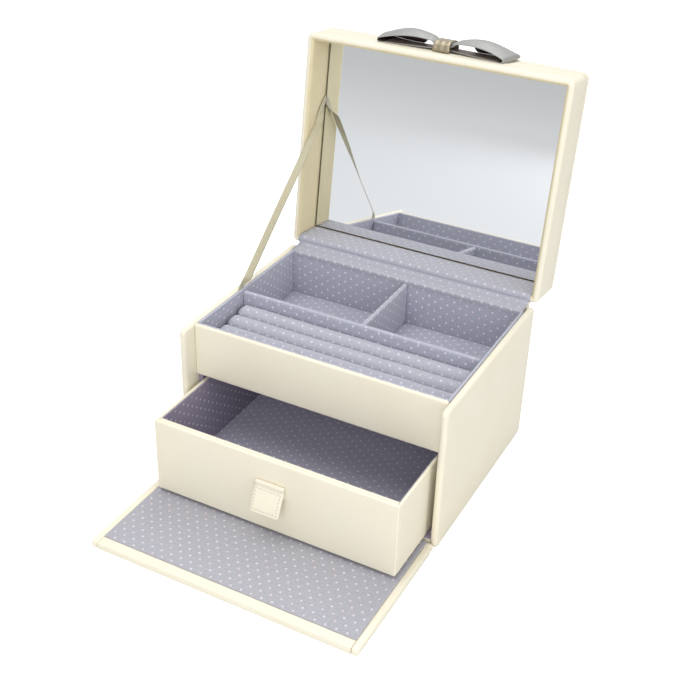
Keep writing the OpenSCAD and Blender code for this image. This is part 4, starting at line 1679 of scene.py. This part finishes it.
    def knot(self) -> None:
        """Builds the knot's band, pinched in its middle."""
        low, high = self.box("bow_knot")
        half, height = (high[2] - low[2]) / 2, high[1] - low[1]
        t = self.band / 2
        line = []
        for a in np.radians(np.arange(180, -1, -7.5)):
            u, v = math.cos(a), math.sin(a)
            line.append((math.copysign(abs(u) ** 0.6, u) * (half - t),
                         t + (height - 0.6 - 2 * t) * max(v, 0) ** 0.6))
        path = np.array(line)
        run = run_along(path)
        cross = np.linspace(-1, 1, 25)
        rings, uvs = [], []
        for spot, away, s in zip(path, left_of(path), run):
            width = self.knot_span / 2 * (1 - 0.10 * math.sin(math.pi * s / run[-1]))
            outline = [(u, t * (1 - 0.5 * abs(u) ** 12), 0.13 * math.cos(2.5 * math.pi * u + 0.6))
                       for u in cross]
            loop = outline + [(u, -h, f) for u, h, f in outline[::-1]]
            rings.append(self.on_lid(np.array([(u * width, *(spot + away * (h + f))) for u, h, f in loop])))
            uvs.append(np.array([(s, u * width) for u, h, f in loop]))
        made = loft_mesh("bow_knot_band", rings, uvs, self.placing)
        # The knot takes the gold-tinted satin: painted reflection of the cream lid.
        self.dress(made, "knot_satin_painted_reflection", Slot.SATIN, ["bow_knot"])


@dataclass(frozen=True)
class Lamp:
    """One soft lamp.

    Attributes:
        name: The lamp's name.
        place: Where it hangs, in metres.
        size: The side of its square, in metres.
        power: Its power in watts.
        aim: The point that it faces.
    """

    name: str
    place: tuple[float, float, float]
    size: float
    power: float
    aim: tuple[float, float, float] = (0.0, 0.0, 0.1)


@dataclass
class Studio:
    """Camera, lamps, floor and surroundings.

    Attributes:
        focal: The lens in millimetres on a 36 mm sensor.
        lamps: The lamps.
        world_light: Strength of the surroundings' light.
    """

    focal: float = 61.51
    lamps: tuple[Lamp, ...] = (
        Lamp("overhead", (-0.25, -0.25, 2.4), 1.9, 28.5),
        Lamp("rear", (-0.2, 1.2, 2.2), 1.0, 15.0),
        Lamp("front", (0.35, -1.5, 0.75), 1.2, 10.0),
        Lamp("right", (1.5, -0.4, 0.7), 1.1, 7.0),
    )
    world_light: float = 0.42

    def build(self) -> None:
        """Sets up the studio."""
        scene = bpy.context.scene
        scene.view_settings.view_transform = "Standard"
        self.camera()
        for lamp in self.lamps:
            self.hang(lamp)
        self.floor()
        self.world()

    def camera(self) -> None:
        """Stands the camera where the photograph was taken."""
        data = bpy.data.cameras.new("photo_camera")
        data.lens, data.sensor_width, data.sensor_fit = self.focal, 36.0, "HORIZONTAL"
        data.clip_start, data.clip_end = 0.01, 50.0
        made = new_object("photo_camera", data)
        right = Vector((0.8805462, 0.47331007, 0.02481866))
        down = Vector((0.26268212, -0.44376758, -0.85677794))
        ahead = Vector((-0.39450791, 0.76095198, -0.51508795))
        turn = Matrix((right, -down, -ahead)).transposed().to_4x4()
        made.matrix_world = Matrix.Translation(Vector((306.405, -626.141, 511.092)) * MM) @ turn
        bpy.context.scene.camera = made

    def hang(self, lamp: Lamp) -> None:
        """Hangs one lamp.

        Args:
            lamp: The lamp.
        """
        data = bpy.data.lights.new(lamp.name, "AREA")
        data.shape, data.size, data.energy = "SQUARE", lamp.size, lamp.power
        made = new_object(lamp.name, data)
        made.location = lamp.place
        aim = Vector(lamp.aim) - Vector(lamp.place)
        made.rotation_euler = aim.to_track_quat("-Z", "Y").to_euler()

    def floor(self) -> None:
        """Lays the pale floor, which shows white but keeps the shadow."""
        half, drop = 6, -0.0004
        mesh = bpy.data.meshes.new("studio_floor")
        mesh.from_pydata([(-half, -half, drop), (half, -half, drop), (half, half, drop), (-half, half, drop)],
                         [], [(0, 1, 2, 3)])
        made = new_object("studio_floor", mesh)
        material, n, shader = start_material("studio_floor_white")
        path = n.add("ShaderNodeLightPath").outputs
        place = n.add("ShaderNodeNewGeometry").outputs["Position"]
        reach = n.add("ShaderNodeVectorMath", {0: place}, operation="LENGTH")
        far = n.math("MULTIPLY", n.ramp(reach.outputs["Value"], 0.6, 2.6), path["Is Glossy Ray"])
        base = n.mix(path["Is Glossy Ray"], (0.82, 0.82, 0.82, 1), (0.67, 0.68, 0.69, 1))
        glow = n.scaled(path["Is Camera Ray"], 0.55, n.math("MULTIPLY", far, 0.24))
        for socket, value in (("Base Color", base), ("Roughness", 0.9), ("Emission Color", WHITE),
                              ("Emission Strength", glow)):
            n.put(value, shader.inputs[socket])
        mesh.materials.append(material)

    def world(self) -> None:
        """Makes the surroundings white to the eye and soft as a light."""
        world = bpy.data.worlds.new("studio_world")
        world.use_nodes = True
        world.node_tree.nodes.clear()
        n = NodeLines(world.node_tree)
        path = n.add("ShaderNodeLightPath").outputs
        seen = n.math("MAXIMUM",
                      n.math("MAXIMUM", path["Is Camera Ray"], path["Is Transmission Ray"]),
                      n.math("MULTIPLY", path["Is Glossy Ray"], 0.68))
        strength = n.scaled(seen, 1.0 - self.world_light, self.world_light)
        back = n.add("ShaderNodeBackground", {"Color": WHITE, "Strength": strength})
        n.add("ShaderNodeOutputWorld", {0: back.outputs[0]})
        bpy.context.scene.world = world


def main() -> None:
    """Loads the frame and builds every piece on it."""
    logging.basicConfig(level=logging.INFO, format="%(name)s: %(message)s")
    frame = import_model()
    joint = next(j for j in frame["joints"] if j["name"] == "lid_hinge")
    pivot = tuple(v / MM for v in joint["pos_m"][1:])
    lid = Placing.lid(pivot, joint["range_deg"][1])
    row = Placing.row()
    finishes = {finish.name: finish.build() for finish in PALETTE}
    nodes = frame["nodes"]
    Studio().build()
    CaseShell(nodes, finishes, row, Body.CASE).build()
    JewelleryTray(nodes, finishes, row, Body.CASE).build()
    PulledDrawer(nodes, finishes, row, Body.DRAWER).build()
    FrontFlap(nodes, finishes, row, Body.FLAP).build()
    MirrorLid(nodes, finishes, lid, Body.LID).build()
    RibbonStay(nodes, finishes, lid, Body.LID).build()
    SatinBow(nodes, finishes, lid, Body.LID).build()


if __name__ == "__main__":
    main()
